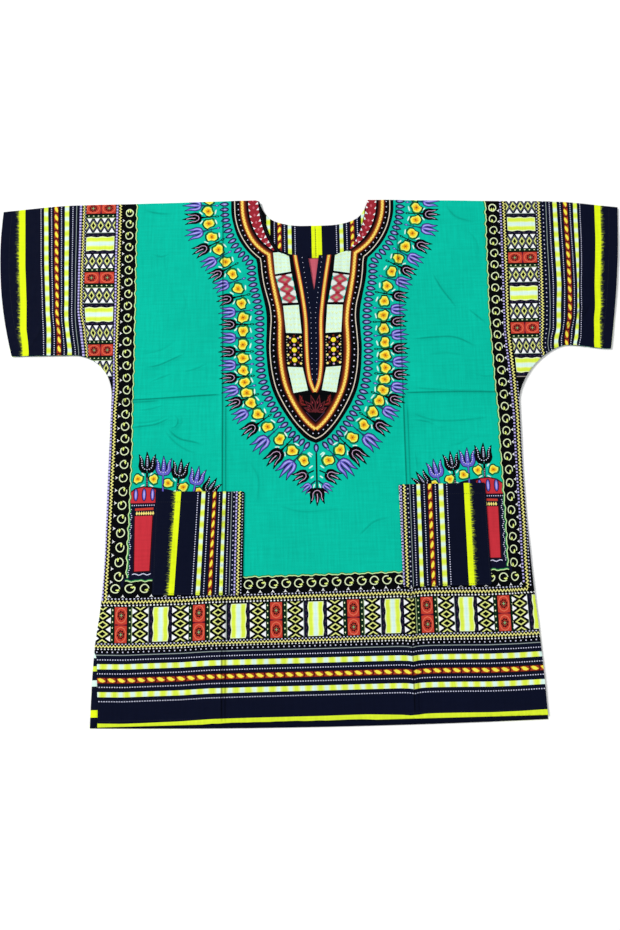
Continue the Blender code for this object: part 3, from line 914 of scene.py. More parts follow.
def ring_foot(paint):
    """The foot of the ring: five plain flowers fanned out below it."""
    paint.line("leafline", [(0, -12), (0, -30), (0, -50), (0, -70)], 2.6)
    for sign in BOTH_WAYS:
        for dark, root, foot, ahead, size in FOOT_FLOWERS:
            paint.line("black" if dark else "indigo", mirrored([root, foot], sign), 2.2)
            tulip(paint, sign * foot[0], foot[1], sign * ahead[0], ahead[1], dark, size, sign)
        for x, y, ux, uy, long in FOOT_DASHES:
            dash(paint, sign * x, y, sign * ux, uy, long)
        leaf = petal([(0, 0), (-2.0, 8), (0, 17)], (0.8, 3.2, 0.0))
        paint.fill("black", stand(leaf, 0.0, -68.0, sign * 0.97, -0.24, 1.0, sign))
        paint.line("shell", mirrored([(3.0, -70.0), (9.0, -70.5), (14.0, -72.0)], sign), 0.9)
    tulip(paint, 0.0, -66.0, 0.0, -1.0, True, 0.98, 1.0, 1.1)


def fringe(paint):
    """Three rings of small motifs round the yoke: seeds, blooms and flowers."""
    edge = joined(YOKE_EDGE_TOP, YOKE_EDGE)
    seeds = both_sides(spline(edge[::8], 3.0), 10.6)[0]
    for x, y, dx, dy in stations([p for p in seeds if p[0] > 3.0], 9.5, 5.0, 4.0):
        for sign in BOTH_WAYS:
            seed(paint, sign * x, y, sign * -dy, dx)
    seed(paint, 0.0, -4.0, 0.0, -1.0)
    line = spline(FLOWER_LINE, 3.0)[::-1]
    station = lambda place: stations(line, 1e9, place)[0]
    for k, place in enumerate(FLOWER_PLACES):
        ring_flower(paint, station(place), k % 2 == 1)
    for k, (low, high) in enumerate(zip((10,) + FLOWER_PLACES, FLOWER_PLACES + (508,))):
        x, y, dx, dy = station((low + high) / 2.0)
        nx, ny = dy, -dx
        way = 1.0 if k % 2 else -1.0
        for sign in BOTH_WAYS:
            turn, scale = 2.6 * noise(k * 3.1) - 1.3, 1.06 + 0.12 * noise(k + 0.5)
            rosette(paint, sign * x, y, sign * nx, ny, turn, scale)
            slanted_dash(
                paint, sign, x - nx * 11.6 + way * dx * 1.5, y - ny * 11.6 + way * dy * 1.5,
                dx + 0.25 * way * nx, dy + 0.25 * way * ny, 9.5, 2.2,
            )
    ring_foot(paint)


# foot, lean, size and kind of each flower beside the pocket, outwards from it
CORNER_FLOWERS = (
    (252.5, -36.0, 0.00, 1.18, True),
    (228.5, -40.5, -0.03, 1.10, False),
    (205.5, -45.5, -0.14, 1.10, True),
    (181.5, -56.0, -0.22, 1.08, False),
    (165.0, -70.0, -0.62, 1.05, True),
)
CORNER_BLOOMS = ((266.0, -46.0), (242.5, -46.5), (221.0, -53.0), (199.0, -59.5), (176.0, -68.0))
CORNER_GROUND = (
    (285, -206), (150, -206), (156, -120), (170, -86),
    (196, -70), (222, -62), (246, -58), (270, -64), (285, -70),
)


def corner(paint, sign, level, shift):
    """Flowers over a red panel, in the lower corner on one side."""
    place = lambda x, y: (sign * (x + shift), y + level)
    fill = lambda ink, points: paint.fill(ink, [place(*p) for p in points])
    fill("ink", CORNER_GROUND)
    for x, y, lean, scale, dark in CORNER_FLOWERS:
        ux, uy = math.sin(lean), math.cos(lean)
        stem = spline([place(x, y), place(x - 9 * ux, y - 10), place(x - 26 * ux - 1.0, -80.0)], 5.0)
        paint.line("leafline" if dark else "indigo", stem, 3.4)
        paint.line("black" if dark else "violet", stem, 2.0)
        if dark:
            for px, py, _, _ in stations(stem, 2.6, 9.0):
                paint.dot("shell", px, py, 0.8)
            for way in BOTH_WAYS:
                dash(paint, *place(x + way * 6.2, y - 2.5), 0.62 * way * sign, 0.78, 7.5)
                dash(paint, *place(x + way * 6.5, y - 20.5), -0.85 * way * sign, 0.5, 7.5)
        tulip(paint, *place(x, y), sign * ux, uy, dark, scale, sign, 1.08, True)
    for k, (x, y) in enumerate(CORNER_BLOOMS):
        rosette(paint, *place(x, y), 0.0, 1.0, 0.4 + k, 0.93)
    # the panel: a rounded head of lilac buds, two narrow bands and a plain red body
    fill("deep", ((279, -84), (279, -67), (270, -60), (258, -57), (246, -58), (238, -62), (238, -84)))
    head = (
        (277.5, -82.5), (277.5, -68), (269, -61.5), (258, -59),
        (246, -59.8), (239.5, -63), (239.5, -82.5),
    )
    fill("red", head)
    for x in (268.5, 256.3, 243.8):
        for ink, long, wide in (("ink", 10.2, 3.8), ("violet", 8.8, 2.5), ("lavender", 6.2, 1.1)):
            paint.fill(ink, stand(ring(0, 0, wide, long, 10), *place(x, -70.0), 0.0, 1.0))
    fill("ink", ((279, -84), (238, -82.5), (238, -96), (279, -98)))
    for i in range(12):
        fill("dots", ring(276.5 - 3.2 * i, -86.0, 1.0, 1.0, 4))
    fill("brick", ((269, -90.5), (242, -89.5), (242, -93), (269, -94)))
    for i in range(8):
        x = 268 - 3.4 * i
        fill("straw", ((x, -98.6), (x - 1.7, -94.8), (x - 3.4, -98.2), (x - 1.7, -101.0)))
    fill("deep", ((270.6, -101), (242, -100.5), (244.8, -182), (269.5, -182.5)))
    fill("red", ((269.0, -102), (243.5, -101.5), (246.5, -180.5), (267.8, -181)))
    for i in range(32):
        fill("dots", ring(274.5 + 1.1 * math.sin(i * 1.3), -92 - 3.0 * i, 0.95, 0.95, 4))
    wave = [place(270.5 - 2.9 * i, -185.5 + 1.2 * math.sin(i * 1.5)) for i in range(10)]
    for a, b in zip(wave, wave[1:]):
        paint.line("dots", [a, b], 1.2)


# How far the bottom border hangs below its straight line: x, then how far.
SAG = (
    (-330, 0.0), (-305, -0.8), (-280, -1.5), (-240, -0.8), (-200, -0.3), (-160, 1.4), (-100, 2.0),
    (0, 2.5), (100, 3.2), (160, 3.8), (200, 3.5), (240, 2.9), (280, 3.6), (315, 5.0),
)

# How far the print lies from its straight line, outwards from the middle, where the
# cloth was pulled: first the straight lines themselves, then a row for each height.
SHIFTS = {
    "left": (
        (277.5, 288.5, 305.0, 312.5, 357.5, 363.5, 376.0, 390.5, 408.2, 424.5, 463.8),
        (400, (0.6, 0.9, -1.5, -1.0, 0.6, -1.9, -2.0, -1.0, -1.5, -1.6, -3.0)),
        (300, (-0.3, -0.1, -1.5, -1.2, -0.3, -2.0, -4.1, -4.3, -6.5, -6.9, -8.0)),
        (240, (-0.6, -0.4, -2.2, -2.5, -1.2, -2.5, -6.0, -6.8, -10.0, -11.3, -13.2)),
        (222, (-0.7, -0.3, -2.0, -2.7, -1.8, -3.0, -6.4, -7.1, -10.2, -12.5, -13.8)),
        (206, (-0.8, -0.2, -1.6, -2.7, -4.0, -6.6, -7.4, -8.0, -12.0, -14.3, -14.2)),
        (195, (-0.8, -0.2, -1.5, -2.8, -5.4, -9.4, -8.6, -9.2, -14.0, -15.2, -14.6)),
        (180, (-0.9, -0.2, -1.2, -2.9, -8.0, -11.2, -10.6, -11.4, -15.4, -15.7, -17.5)),
        (160, (-1.3, -0.4, -0.8, -3.1, -10.8, -14.2, -13.8, -15.0, -16.0, -16.2, -20.5)),
        (149, (-1.5, -0.6, -0.8, -3.1, -11.4, -15.2, -14.8, -15.2, -16.2, -16.6, -21.0)),
        (100, (-0.5, -2.7, -4.0)), (60, (-0.5, -1.6, -1.8)),
        (0, (-1.5, -1.6, -1.5)), (-60, (0.0, -1.0, -0.2)),
        (-160, (2.1, 2.1, 1.7)), (-200, (2.3, 2.7, 3.3)), (-232, (2.3, 2.9, 4.0)),
    ),
    "right": (
        (277.5, 288.5, 308.3, 312.5, 357.5, 363.5, 376.0, 390.5, 408.2, 421.0, 428.5, 463.8),
        (390, (3.5, 3.0, 1.7, 0.6, 2.8, 2.4, 1.5, 1.0, 0.0, -0.3, -0.9, -4.2)),
        (330, (1.0, 2.1, -0.4, -0.6, 0.0, 0.3, -1.2, -1.0, -1.5, -2.8, -3.6, -8.0)),
        (290, (0.0, 0.6, -1.8, -2.0, -1.6, -1.5, -2.4, -2.0, -2.8, -3.6, -6.4, -12.4)),
        (251, (-1.2, -1.0, -3.3, -3.3, -3.3, -3.5, -3.8, -3.2, -4.5, -5.3, -10.4, -17.0)),
        (215, (-2.8, -2.2, -4.8, -5.0, -5.6, -4.8, -5.6, -7.2, -6.5, -8.1, -12.9, -19.2)),
        (195, (-2.8, -2.6, -5.4, -5.6, -6.5, -6.5, -7.5, -8.5, -8.8, -11.0, -14.6, -23.0)),
        (180, (-2.4, -3.0, -6.1, -6.1, -7.5, -8.0, -8.8, -9.5, -14.2, -14.1, -16.2, -24.0)),
        (165, (-2.0, -2.6, -5.5, -5.5, -8.0, -10.0, -12.5, -14.8, -16.2, -16.6, -18.2, -25.0)),
        (150, (-1.8, -2.3, -5.0, -4.0, -9.0, -11.0, -14.5, -16.5, -16.5, -21.2, -22.8, -26.7)),
        (100, (-0.9, 0.2, -2.3)), (40, (1.8, 0.8, -1.3)), (0, (0.3, -0.2, -2.5)), (-60, (1.2, -0.2, -3.6)),
        (-120, (1.2, -0.9, -3.4)), (-180, (0.0, -3.0, -5.0)), (-232, (0.0, -3.0, -5.0)),
    ),
}
# more of the same downwards, for the upper lines of the bottom border
UPPER_SAG = ((-330, 1.0), (-200, 2.0), (-60, 2.0), (0, 1.5), (60, 1.0), (150, 0.3), (330, 0.0))


def smooth(low, high, value):
    """Go from 0 at low to 1 at high, with no corner at either."""
    share = np.clip((np.asarray(value, float) - low) / (high - low), 0.0, 1.0)
    return share * share * (3.0 - 2.0 * share)


def table_at(table, out, y):
    """Read a table of shifts between its rows and its columns."""
    columns, rows = np.array(table[0]), sorted(table[1:])
    heights = np.array([row[0] for row in rows], float)
    full = [tuple(row[1]) + (row[1][-1],) * (len(columns) - len(row[1])) for row in rows]
    each = np.array([np.interp(y, heights, [row[k] for row in full]) for k in range(len(columns))])
    k = np.clip(np.searchsorted(columns, out) - 1, 0, len(columns) - 2)
    share = np.clip((out - columns[k]) / (columns[k + 1] - columns[k]), 0.0, 1.0)
    places = np.arange(len(out))
    return each[k, places] * (1 - share) + each[k + 1, places] * share


def along(table, x):
    """Read a table of two columns between its rows."""
    return np.interp(x, [row[0] for row in table], [row[1] for row in table])


def laid_print(x, y):
    """Where a place of the straight print lies on the laid front, in millimetres."""
    out = np.abs(x)
    shift = np.where(x < 0, table_at(SHIFTS["left"], out, y), table_at(SHIFTS["right"], out, y))
    shift *= smooth(262.0, 281.0, out) * (1.0 - smooth(-226.0, -236.0, y))
    near_neck = (1.0 - smooth(170.0, 240.0, out)) * smooth(290.0, 400.0, y)
    near_middle = 1.0 - smooth(195.0, 215.0, out)
    upper = along(UPPER_SAG, x) * smooth(-296.0, -288.0, y)
    dip = 2.2 * np.exp(-np.abs(x - KINK_DEEPEST) / np.where(x < KINK_DEEPEST, 7.0, 6.0))
    upper = upper + dip * (y < -200.0)
    low = 1.0 - smooth(-185.0, -120.0, y)
    return x + np.sign(x) * shift + 2.4 * near_neck + 0.8 * near_middle, y + (along(SAG, x) - upper) * low


# how far up the print is drawn, past the shoulder line
SHOULDER_PRINT = 412.0


def side_borders(paint):
    """The borders down both sides, and the stripes of both sleeves."""
    high = SHOULDER_PRINT
    for kind in ("left", "right"):
        band = Band(paint, kind)
        first = kind == "left"
        band.stripe("black", -232.0, high, 279.5, 373.0, 20.0)
        band.stripe("navy", 100.0, high, 366.0, 520.0, 20.0)
        side_edge(band, -190.0, high)
        if first:
            band.zigzag(-226.0, high, 305.0, 5.06)
            band.dots("lilac", -224.0, high, 309.9, 5.06, 2.0, 0.8)
        else:
            band.dots("lilac", -216.0, high, 302.3, 5.06, 1.5, 1.2)
            band.zigzag(-226.0, high, 308.2, 5.06)
            band.dots("dots", -222.0, 120.0, 312.6, 5.06, 1.0)
        # the sleeve, from its patched band out to the bright stripe
        band.stripe("black", 96.0, high, 311.6, 359.0, 20.0)
        origin, pitch = (278.6, 120.0) if first else (300.0, 118.2)
        patches(band, 108.0, high, 312.5, 357.5, origin, pitch / PATCH, -1.0, True)
        band.dots("dots", 108.0, high, 359.4, 5.06, 1.0)
        band.zigzag(108.0, high, 363.5, 5.06)
        if first:
            band.dots("lilac", 108.0, high, 369.2, 5.06, 2.1, 0.95)
        else:
            band.dots("dots", 108.0, high, 370.6, 7.5, 1.0)
        band.stripe("grey", 108.0, high, 375.5, 376.5)
        for t in (381.6, 399.6, 415.9, 433.1):
            band.dots("dots", 108.0, high, t, 3.6, 1.0, 0.8)
        band.blocks(112.0, high, 387.3, 394.0)
        band.blocks(104.0 if first else 110.0, high, 421.3, 427.9)
        band.rope(112.0, high, 404.9, 411.5, 14.8, 1.0 if first else -1.0)
        band.ragged(112.0, high, 459.0, 468.6)


def side_edge(band, low, high):
    """The inner edge of a side border: its pale line, its curls and the darts between them."""
    Band(band.paint, band.kind, 277.2).scallop(low, high, 19.6)
    if band.kind == "left":
        knots, looks = (-188.7, -3.0, 93.0, 190.8, 389.4), (-0.55, 0.5)
        first, t = -196.2, 298.8
    else:
        knots, looks = (-184.8, -1.3, 95.0, 190.8, 387.5), (math.pi + 0.5, math.pi - 0.5)
        first, t = -190.8, 298.4
    band.curls([s for s in np.interp(range(31), (0, 9, 14, 19, 29), knots) if s < high], 288.5, looks)
    band.barbs([s for s in (first + 19.08 * i for i in range(31)) if s < high], t)


# the upper and the lower edge of the last stripe, uneven where the hem was turned up aslant
LAST_STRIPE_TOP = (
    (-335, 200.6), (-250, 200.8), (-140, 199.6), (0, 199.6),
    (60, 199.0), (126, 201.6), (133, 200.6), (200, 200.0), (335, 199.2),
)
LAST_STRIPE_LOW = (
    (-335, 211.0), (-250, 209.0), (-200, 207.0), (-140, 205.2), (0, 205.2),
    (60, 205.3), (126, 208.6), (133, 210.0), (200, 210.4), (335, 208.6),
)


def bottom_border(paint):
    """The border along the bottom, and the stripes down to the hem."""
    band = Band(paint, "bottom", -195.0)
    band.stripe("navy", -340.0, 340.0, 96.0, 215.0)
    band.stripe("black", -281.0, 281.0, 1.2, 30.0)
    band.fill("black", box(-279.0, -303.0, 8.0, 31.0))
    band.fill("black", box(279.0, 301.0, 8.0, 31.0))
    band.stripe("black", -340.0, 340.0, 28.0, 104.5)
    band.scallop(-279.0, 278.0, 18.4)
    curls = np.interp(range(32), (0, 2, 10, 22, 31), (-292.7, -253.1, -103.1, 116.5, 288.0))
    band.curls(curls, 10.7, (0.6, -0.55))
    band.barbs(np.interp(range(33), (0, 2, 10, 22, 32), (-300.6, -262.6, -104.0, 114.9, 298.0)), 21.8)
    band.dots("dots", -304.0, 300.0, 25.6, 4.95, 1.2, 0.85)
    band.zigzag(-310.5, 309.5, 30.2)
    # the lines below go from side to side
    whole = (-330.0, 330.0)
    band.dots("white", *whole, 35.0, 4.95, 1.25, 0.95)
    # the cloth is tucked under itself at the right crease, which hides some of the patches
    for low, high, origin, k in (
        (-345.0, 136.5, -285.6, 0.985), (136.5, 279.0, 154.8, 0.99), (279.0, 345.0, 150.4, 0.99),
    ):
        paint.limits = (low, high)
        patches(band, low, high, 37.4, 88.0, origin, k)
    paint.limits = None
    band.dots("dots", *whole, 89.8, 4.95, 1.15, 0.8)
    band.zigzag(*whole, 93.6)
    band.dots("white", *whole, 98.0, 4.95, 1.2, 0.95)
    band.dots("dots", *whole, 102.4, 7.4, 1.0)
    band.stripe("grey", *whole, 106.1, 107.2)
    for t in (113.2, 132.6, 151.2, 170.8):
        band.dots("dots", *whole, t, 3.6, 1.0, 0.8)
    band.blocks(*whole, 119.2, 126.4)
    band.blocks(*whole, 157.8, 164.8)
    band.rope(*whole, 138.4, 145.4, 14.0)
    xs = np.linspace(-335.0, 335.0, 68)
    top = [(x, float(along(LAST_STRIPE_TOP, x))) for x in xs]
    low = [(x, float(along(LAST_STRIPE_LOW, x)) + 0.7 * noise(x) * (x < 120)) for x in xs]
    band.fill("dullbright", top + low[::-1])


def front_print():
    """The whole print of the front."""
    paint = Print()
    side_borders(paint)
    corner(paint, -1.0, 0.0, 0.0)
    corner(paint, 1.0, 4.0, -1.0)
    bottom_border(paint)
    # the side borders go over the corners of the panel's ground
    paint.fill("black", box(-303.0, -282.5, -190.0, -60.0))
    paint.fill("black", box(301.0, 280.5, -190.0, -60.0))
    for kind in ("left", "right"):
        side_edge(Band(paint, kind), -190.0, -50.0)
    fringe(paint)
    yoke(paint)
    cells(paint)
    tip(paint)
    placket(paint)
    neck_band(paint)
    return paint


# where each line of a pocket's print lies across it, and how far it leans
POCKET_LINES = {
    "left": {
        "size": (131.5, 153.0),
        "lean": ((-66, 6.2), (-36, 5.8), (2, 4.6), (18, 3.8), (34, 2.2), (46, 1.0), (66, 0.6)),
        "bright": (-38.6, -31.0), "blocks": ((0.0, 5.8), (32.8, 37.4)), "rope": (17.2, 22.4),
        "rows": (-5.4, 11.0, 27.6, 42.0), "line": 46.6,
        "small": 50.2, "lilac": 54.0, "zigzag": 58.6, "edge": 63.2,
    },
    "right": {
        "size": (128.5, 151.5), "lean": ((-64, 1.6), (0, 1.8), (64, 0.8)),
        "bright": (31.6, 39.6), "blocks": ((-38.8, -33.6), (-6.0, 0.6)), "rope": (-22.2, -16.2),
        "rows": (-43.8, -27.8, -11.0, 6.0), "line": -48.8,
        "small": -52.0, "lilac": -62.2, "zigzag": -57.0, "edge": -64.0,
    },
}


def pocket_print(side):
    """The print of a pocket, in its own millimetres from its middle."""
    paint = Print()
    lines = POCKET_LINES[side]
    high = lines["size"][1] / 2.0 + 3.0
    low = -high
    band = Band(paint, "right")
    t0, t1 = lines["bright"]
    if side == "right":
        band.ragged(low, high, t0, t1)
    else:
        Band(paint, "left").ragged(low, high, -t1, -t0)
    for t0, t1 in lines["blocks"]:
        band.blocks(low, high, t0, t1)
    band.rope(low, high, *lines["rope"], 14.6)
    for t in lines["rows"]:
        band.dots("dots", low, high, t, 3.6, 0.95, 0.8)
    band.stripe("grey", low, high, lines["line"] - 0.45, lines["line"] + 0.45)
    band.dots("dots", low, high, lines["small"], 7.2, 0.9)
    inner, outer = sorted((lines["lilac"], lines["edge"]))
    band.stripe("black", low, high, inner - 1.8, outer + 3.0)
    band.dots("lilac", low, high, lines["lilac"], 4.95, 1.9, 0.75)
    band.zigzag(low, high, lines["zigzag"], 4.95, 1.6, 2.2)
    band.dots("dots", low, high, lines["edge"], 4.3, 0.9)
    if side == "right":
        for k in range(11):
            s = low + 3 + 14.2 * k
            block = ((s, -66.5), (s + 8.5, -66.5), (s + 7.2, -64.4), (s + 1.0, -64.4))
            band.fill(("lime", "white", "brick", "sage")[k % 4], block)
    return paint


def lean_of(side):
    """How a pocket's print leans: its places move aside with their height."""
    lines = POCKET_LINES[side]
    tall = lines["size"][1]
    return lambda u, v: (u + along(lines["lean"], u) * v / tall, v)


def facing_print():
    """Stripes down the back neck facing, in the shirt's own millimetres."""
    paint = Print()
    band = Band(paint, "right")
    low, high = 296.0, SHOULDER_PRINT
    for ink, t0, t1 in (
        ("navy", -110.0, 120.0), ("black", -110.0, -60.0), ("black", 78.0, 120.0), ("bright", 0.8, 17.0),
    ):
        band.stripe(ink, low, high, t0, t1)
    for t0, t1 in ((-36.6, -31.0), (-70.6, -64.8), (45.6, 51.2), (80.6, 86.4)):
        band.blocks(low, high, t0, t1)
    for t0, t1 in ((-53.0, -47.0), (63.0, 69.0)):
        band.rope(low, high, t0, t1, 13.6)
    for t in (-58.0, -42.0, -25.4, 40.6, 57.0, 74.2):
        band.dots("dots", low, high, t, 3.4, 1.0, 0.8)
    return paint


def back_print():
    """The print of the back: the same borders and a closed yoke with no placket."""
    paint = Print()
    side_borders(paint)
    bottom_border(paint)
    fringe(paint)
    yoke(paint)
    cells(paint)
    tip(paint)
    middle = spline(PLACKET, 6.0)
    paint.fill("rose", mirrored(middle, -1.0) + list(middle[::-1])[1:])
    paint.lines((("deep", 7.0), ("brown", 5.4), ("gold", 2.8)), middle)
    neck_band(paint)
    return paint


def back_inside_print():
    """What shows of the back's inside: its hem at the vent, and the middle at the slit."""
    paint = Print()
    paint.fill("rose", [(-24, 236), (24, 236), (30, 330), (-30, 330)])
    band = Band(paint, "bottom", -195.0)
    band.stripe("navy", -340.0, 340.0, 103.0, 215.0)
    for t0, t1, ink in (
        (104.5, 111.0, "mint"), (122.5, 129.5, "lime"), (142.0, 150.5, "mint"), (183.0, 193.0, "bright"),
    ):
        band.stripe(ink, -336.0, -300.0, t0, t1)
    return paint


# ---------------------------------------------------------------------------
# Sizes of the cloth, in metres, as the CAD has them.
# ---------------------------------------------------------------------------
CLOTH = 0.0012
SEAM_GAP = 0.0004
POCKET_GAP = 0.0005
HEM_BACK, HEM_FRONT = -0.4070, -0.3993
HEM_FRONT_TILT, HEM_BACK_RISE = 0.0070, 0.0050
SPAN_HALF = 0.4920
NECK_X, NECK_Y, NECK_HALF = 0.0055, 0.4050, 0.0870
SLIT_X, SLIT_HALF, SLIT_LENGTH = 0.0030, 0.0087, 0.0600
FACING_HALF, FACING_DROP, FACING_INSET = 0.1030, 0.0990, 0.0006
VENT_TOP, VENT_FRONT_LOW, VENT_FRONT_HIGH = -0.2990, 0.3150, 0.3185

# distance out, then the height on the left and on the right
SHOULDERS = (
    (0.000, 0.4070, 0.4050), (0.110, 0.4070, 0.4040), (0.300, 0.4052, 0.3990),
    (0.400, 0.4035, 0.3955), (0.492, 0.3950, 0.3840),
)
# height, then the distance out on the left and on the right
SIDES = (
    (-0.410, 0.3262, 0.3192), (-0.300, 0.3230, 0.3165), (-0.220, 0.3145, 0.3125),
    (-0.060, 0.3110, 0.3095), (0.090, 0.3090, 0.3120),
)
# distance out from the middle of the neck, then how deep it is in front and behind
NECKLINE = (
    (0.0000, 0.0950, 0.0430), (0.0300, 0.0945, 0.0422), (0.0420, 0.0915, 0.0405),
    (0.0540, 0.0860, 0.0375), (0.0640, 0.0730, 0.0335), (0.0720, 0.0560, 0.0280),
    (0.0780, 0.0360, 0.0205), (0.0830, 0.0160, 0.0110), (0.0870, 0.0000, 0.0000),
)
SLEEVES = {
    "left": dict(
        sign=-1, cuff_low=0.4650, cuff_mid=0.4885, cuff_top=0.4905,
        foot=0.0850, level=0.1515, reach=0.0630, roundness=2.0, drop=0.0000,
    ),
    "right": dict(
        sign=1, cuff_low=0.4590, cuff_mid=0.4795, cuff_top=0.4920,
        foot=0.0660, level=0.1530, reach=0.0800, roundness=1.6, drop=0.0070,
    ),
}
# x, y, half width, half length and height of each soft swell in the front
SWELLS = (
    (-0.205, 0.190, 0.050, 0.110, 0.0014), (0.215, 0.180, 0.050, 0.120, 0.0016),
    (-0.390, 0.270, 0.045, 0.060, 0.0013), (0.395, 0.265, 0.045, 0.060, 0.0015),
    (0.000, 0.010, 0.090, 0.080, 0.0012), (-0.050, -0.290, 0.110, 0.045, 0.0010),
)
# x, y, width, length and turn of each pocket
POCKETS = {
    "left": (-0.1745, -0.1435, 0.1315, 0.1530, -0.021),
    "right": (0.1868, -0.1380, 0.1285, 0.1515, 0.003),
}


def look_up(table, column, value):
    """Read a column of a table between its rows, along a smooth curve."""
    keys = np.array([row[0] for row in table])
    heights = np.array([row[column] for row in table])
    slopes = np.gradient(heights, keys)
    value = np.clip(np.asarray(value, float), keys[0], keys[-1])
    row = np.clip(np.searchsorted(keys, value) - 1, 0, len(keys) - 2)
    step = keys[row + 1] - keys[row]
    t = (value - keys[row]) / step
    start = heights[row] * (1 + 2 * t) * (1 - t) ** 2 + slopes[row] * step * t * (1 - t) ** 2
    stop = heights[row + 1] * t * t * (3 - 2 * t) - slopes[row + 1] * step * t * t * (1 - t)
    return start + stop


def top_edge(x, piece):
    """Height of a panel's upper edge at x: shoulder, neckline and, in front, the slit."""
    height = float(look_up(SHOULDERS, 1 if x < 0 else 2, abs(x)))
    if abs(x - NECK_X) <= NECK_HALF:
        height = min(height, NECK_Y - float(look_up(NECKLINE, 1 if piece == "front" else 2, abs(x - NECK_X))))
    if piece == "front" and abs(x - SLIT_X) < SLIT_HALF:
        height -= SLIT_LENGTH * (1.0 - abs(x - SLIT_X) / SLIT_HALF)
    return height


def front_hem(x):
    """Height of the front's hem edge at x."""
    return HEM_FRONT + HEM_FRONT_TILT * 0.5 * x / SPAN_HALF


def hem_edge(x, piece):
    """Height of a panel's hem edge at x."""
    if piece == "front":
        return front_hem(x)
    return HEM_BACK + HEM_BACK_RISE * 2.0 * (x / SPAN_HALF) ** 2


def side_distance(side, height, piece):
    """Distance out to the side seam, or to the edge of the vent below it."""
    out = float(look_up(SIDES, 1 if side == "left" else 2, height))
    if piece == "front" and side == "left":
        up_vent = float(smooth(HEM_FRONT, VENT_TOP, height))
        edge = VENT_FRONT_LOW + (VENT_FRONT_HIGH - VENT_FRONT_LOW) * up_vent
        out += (edge - out) * (1.0 - float(smooth(VENT_TOP - 0.010, VENT_TOP + 0.004, height)))
    return out


def cuff_out(sleeve, share):
    """Distance out to a cuff's edge, a share of the way from its lower end to its upper one."""
    low = sleeve["cuff_low"] * (1 - share) * (1 - 2 * share)
    return low + sleeve["cuff_mid"] * 4 * share * (1 - share) + sleeve["cuff_top"] * share * (2 * share - 1)


def cuff_ends(name):
    """Height of a cuff's lower and of its upper end."""
    sleeve = SLEEVES[name]
    high = float(look_up(SHOULDERS, 2 if name == "right" else 1, sleeve["cuff_top"]))
    return sleeve["level"] - sleeve["drop"], high


def sleeve_edge(name, piece):
    """A sleeve's underside, and its cuff, from the body outwards: distances out and heights."""
    sleeve = SLEEVES[name]
    foot = side_distance(name, sleeve["foot"], piece)
    under = []
    for share in np.concatenate([1 - np.cos(np.linspace(0, math.pi / 2, 34)), [1.0]]):
        rise = (1.0 - (1.0 - share) ** sleeve["roundness"]) ** (1.0 / sleeve["roundness"])
        up = (sleeve["level"] - sleeve["foot"]) * rise
        under.append((foot + sleeve["reach"] * share, sleeve["foot"] + up))
    for out in np.linspace(foot + sleeve["reach"], sleeve["cuff_low"], 22)[1:]:
        past = float(smooth(foot + sleeve["reach"], sleeve["cuff_low"], out))
        under.append((out, sleeve["level"] - sleeve["drop"] * past))
    low, high = cuff_ends(name)
    cuff = [(cuff_out(sleeve, share), low + (high - low) * share) for share in np.linspace(0, 1, 50)[1:]]
    return under, cuff


def outline_of(piece):
    """The outline of a panel, anticlockwise from its lower left."""
    points = []

    def add(x, y):
        if not points or math.hypot(points[-1][0] - x, points[-1][1] - y) >= 2e-4:
            points.append((x, y))

    left, right = SLEEVES["left"], SLEEVES["right"]
    half = {side: side_distance(side, -0.4000, piece) for side in ("left", "right")}
    for x in np.linspace(-half["left"], half["right"], 130):
        add(x, hem_edge(x, piece))
    for y in np.linspace(hem_edge(half["right"], piece), right["foot"], 90)[1:]:
        add(side_distance("right", y, piece), y)
    under, cuff = sleeve_edge("right", piece)
    for out, y in under + cuff:
        add(out, y)
    for x in np.linspace(right["cuff_top"], NECK_X + NECK_HALF, 80)[1:]:
        add(x, top_edge(x, piece))
    neck = {round(NECK_X + float(x), 6) for x in NECK_HALF * np.cos(np.linspace(0, math.pi, 120)[1:-1])}
    if piece == "front":
        neck |= {SLIT_X - SLIT_HALF, SLIT_X, SLIT_X + SLIT_HALF}
        neck |= {SLIT_X + SLIT_HALF * k / 6 for k in range(-5, 6)}
    for x in sorted(neck, reverse=True):
        add(x, top_edge(x, piece))
    for x in np.linspace(NECK_X - NECK_HALF, -left["cuff_top"], 80):
        add(x, top_edge(x, piece))
    under, cuff = sleeve_edge("left", piece)
    for out, y in cuff[-2::-1] + under[::-1]:
        add(-out, y)
    for y in np.linspace(left["foot"], hem_edge(-half["left"], piece), 90)[1:-1]:
        add(-side_distance("left", y, piece), y)
    return np.array(points)


def bump_along(x, y, line, half, height, fade=0.012, skew=0.0):
    """A soft ridge, or a trough if height is negative, along a line of points."""
    line = np.asarray(line, float)
    reach = 3.0 * half
    bump = np.zeros(len(x))
    low, high = line.min(0) - reach, line.max(0) + reach
    close = np.flatnonzero((x > low[0]) & (x < high[0]) & (y > low[1]) & (y < high[1]))
    if not len(close):
        return bump
    x, y = x[close], y[close]
    best = np.full(len(x), 1e9)
    side = np.zeros(len(x))
    where = np.zeros(len(x))
    reached = lengths(line)
    for i in range(len(line) - 1):
        a, d = line[i], line[i + 1] - line[i]
        size = np.linalg.norm(d)
        t = np.clip(((x - a[0]) * d[0] + (y - a[1]) * d[1]) / size ** 2, 0, 1)
        dx, dy = x - a[0] - t * d[0], y - a[1] - t * d[1]
        away = np.hypot(dx, dy)
        nearer = away < best
        best = np.where(nearer, away, best)
        side = np.where(nearer, np.sign(d[0] * dy - d[1] * dx), side)
        where = np.where(nearer, reached[i] + t * size, where)
    ends = smooth(0.0, fade, np.minimum(where, reached[-1] - where))
    u = best / half
    bump[close] = height * ends * (np.exp(-u * u) + skew * side * u * np.exp(-u * u))
    return bump


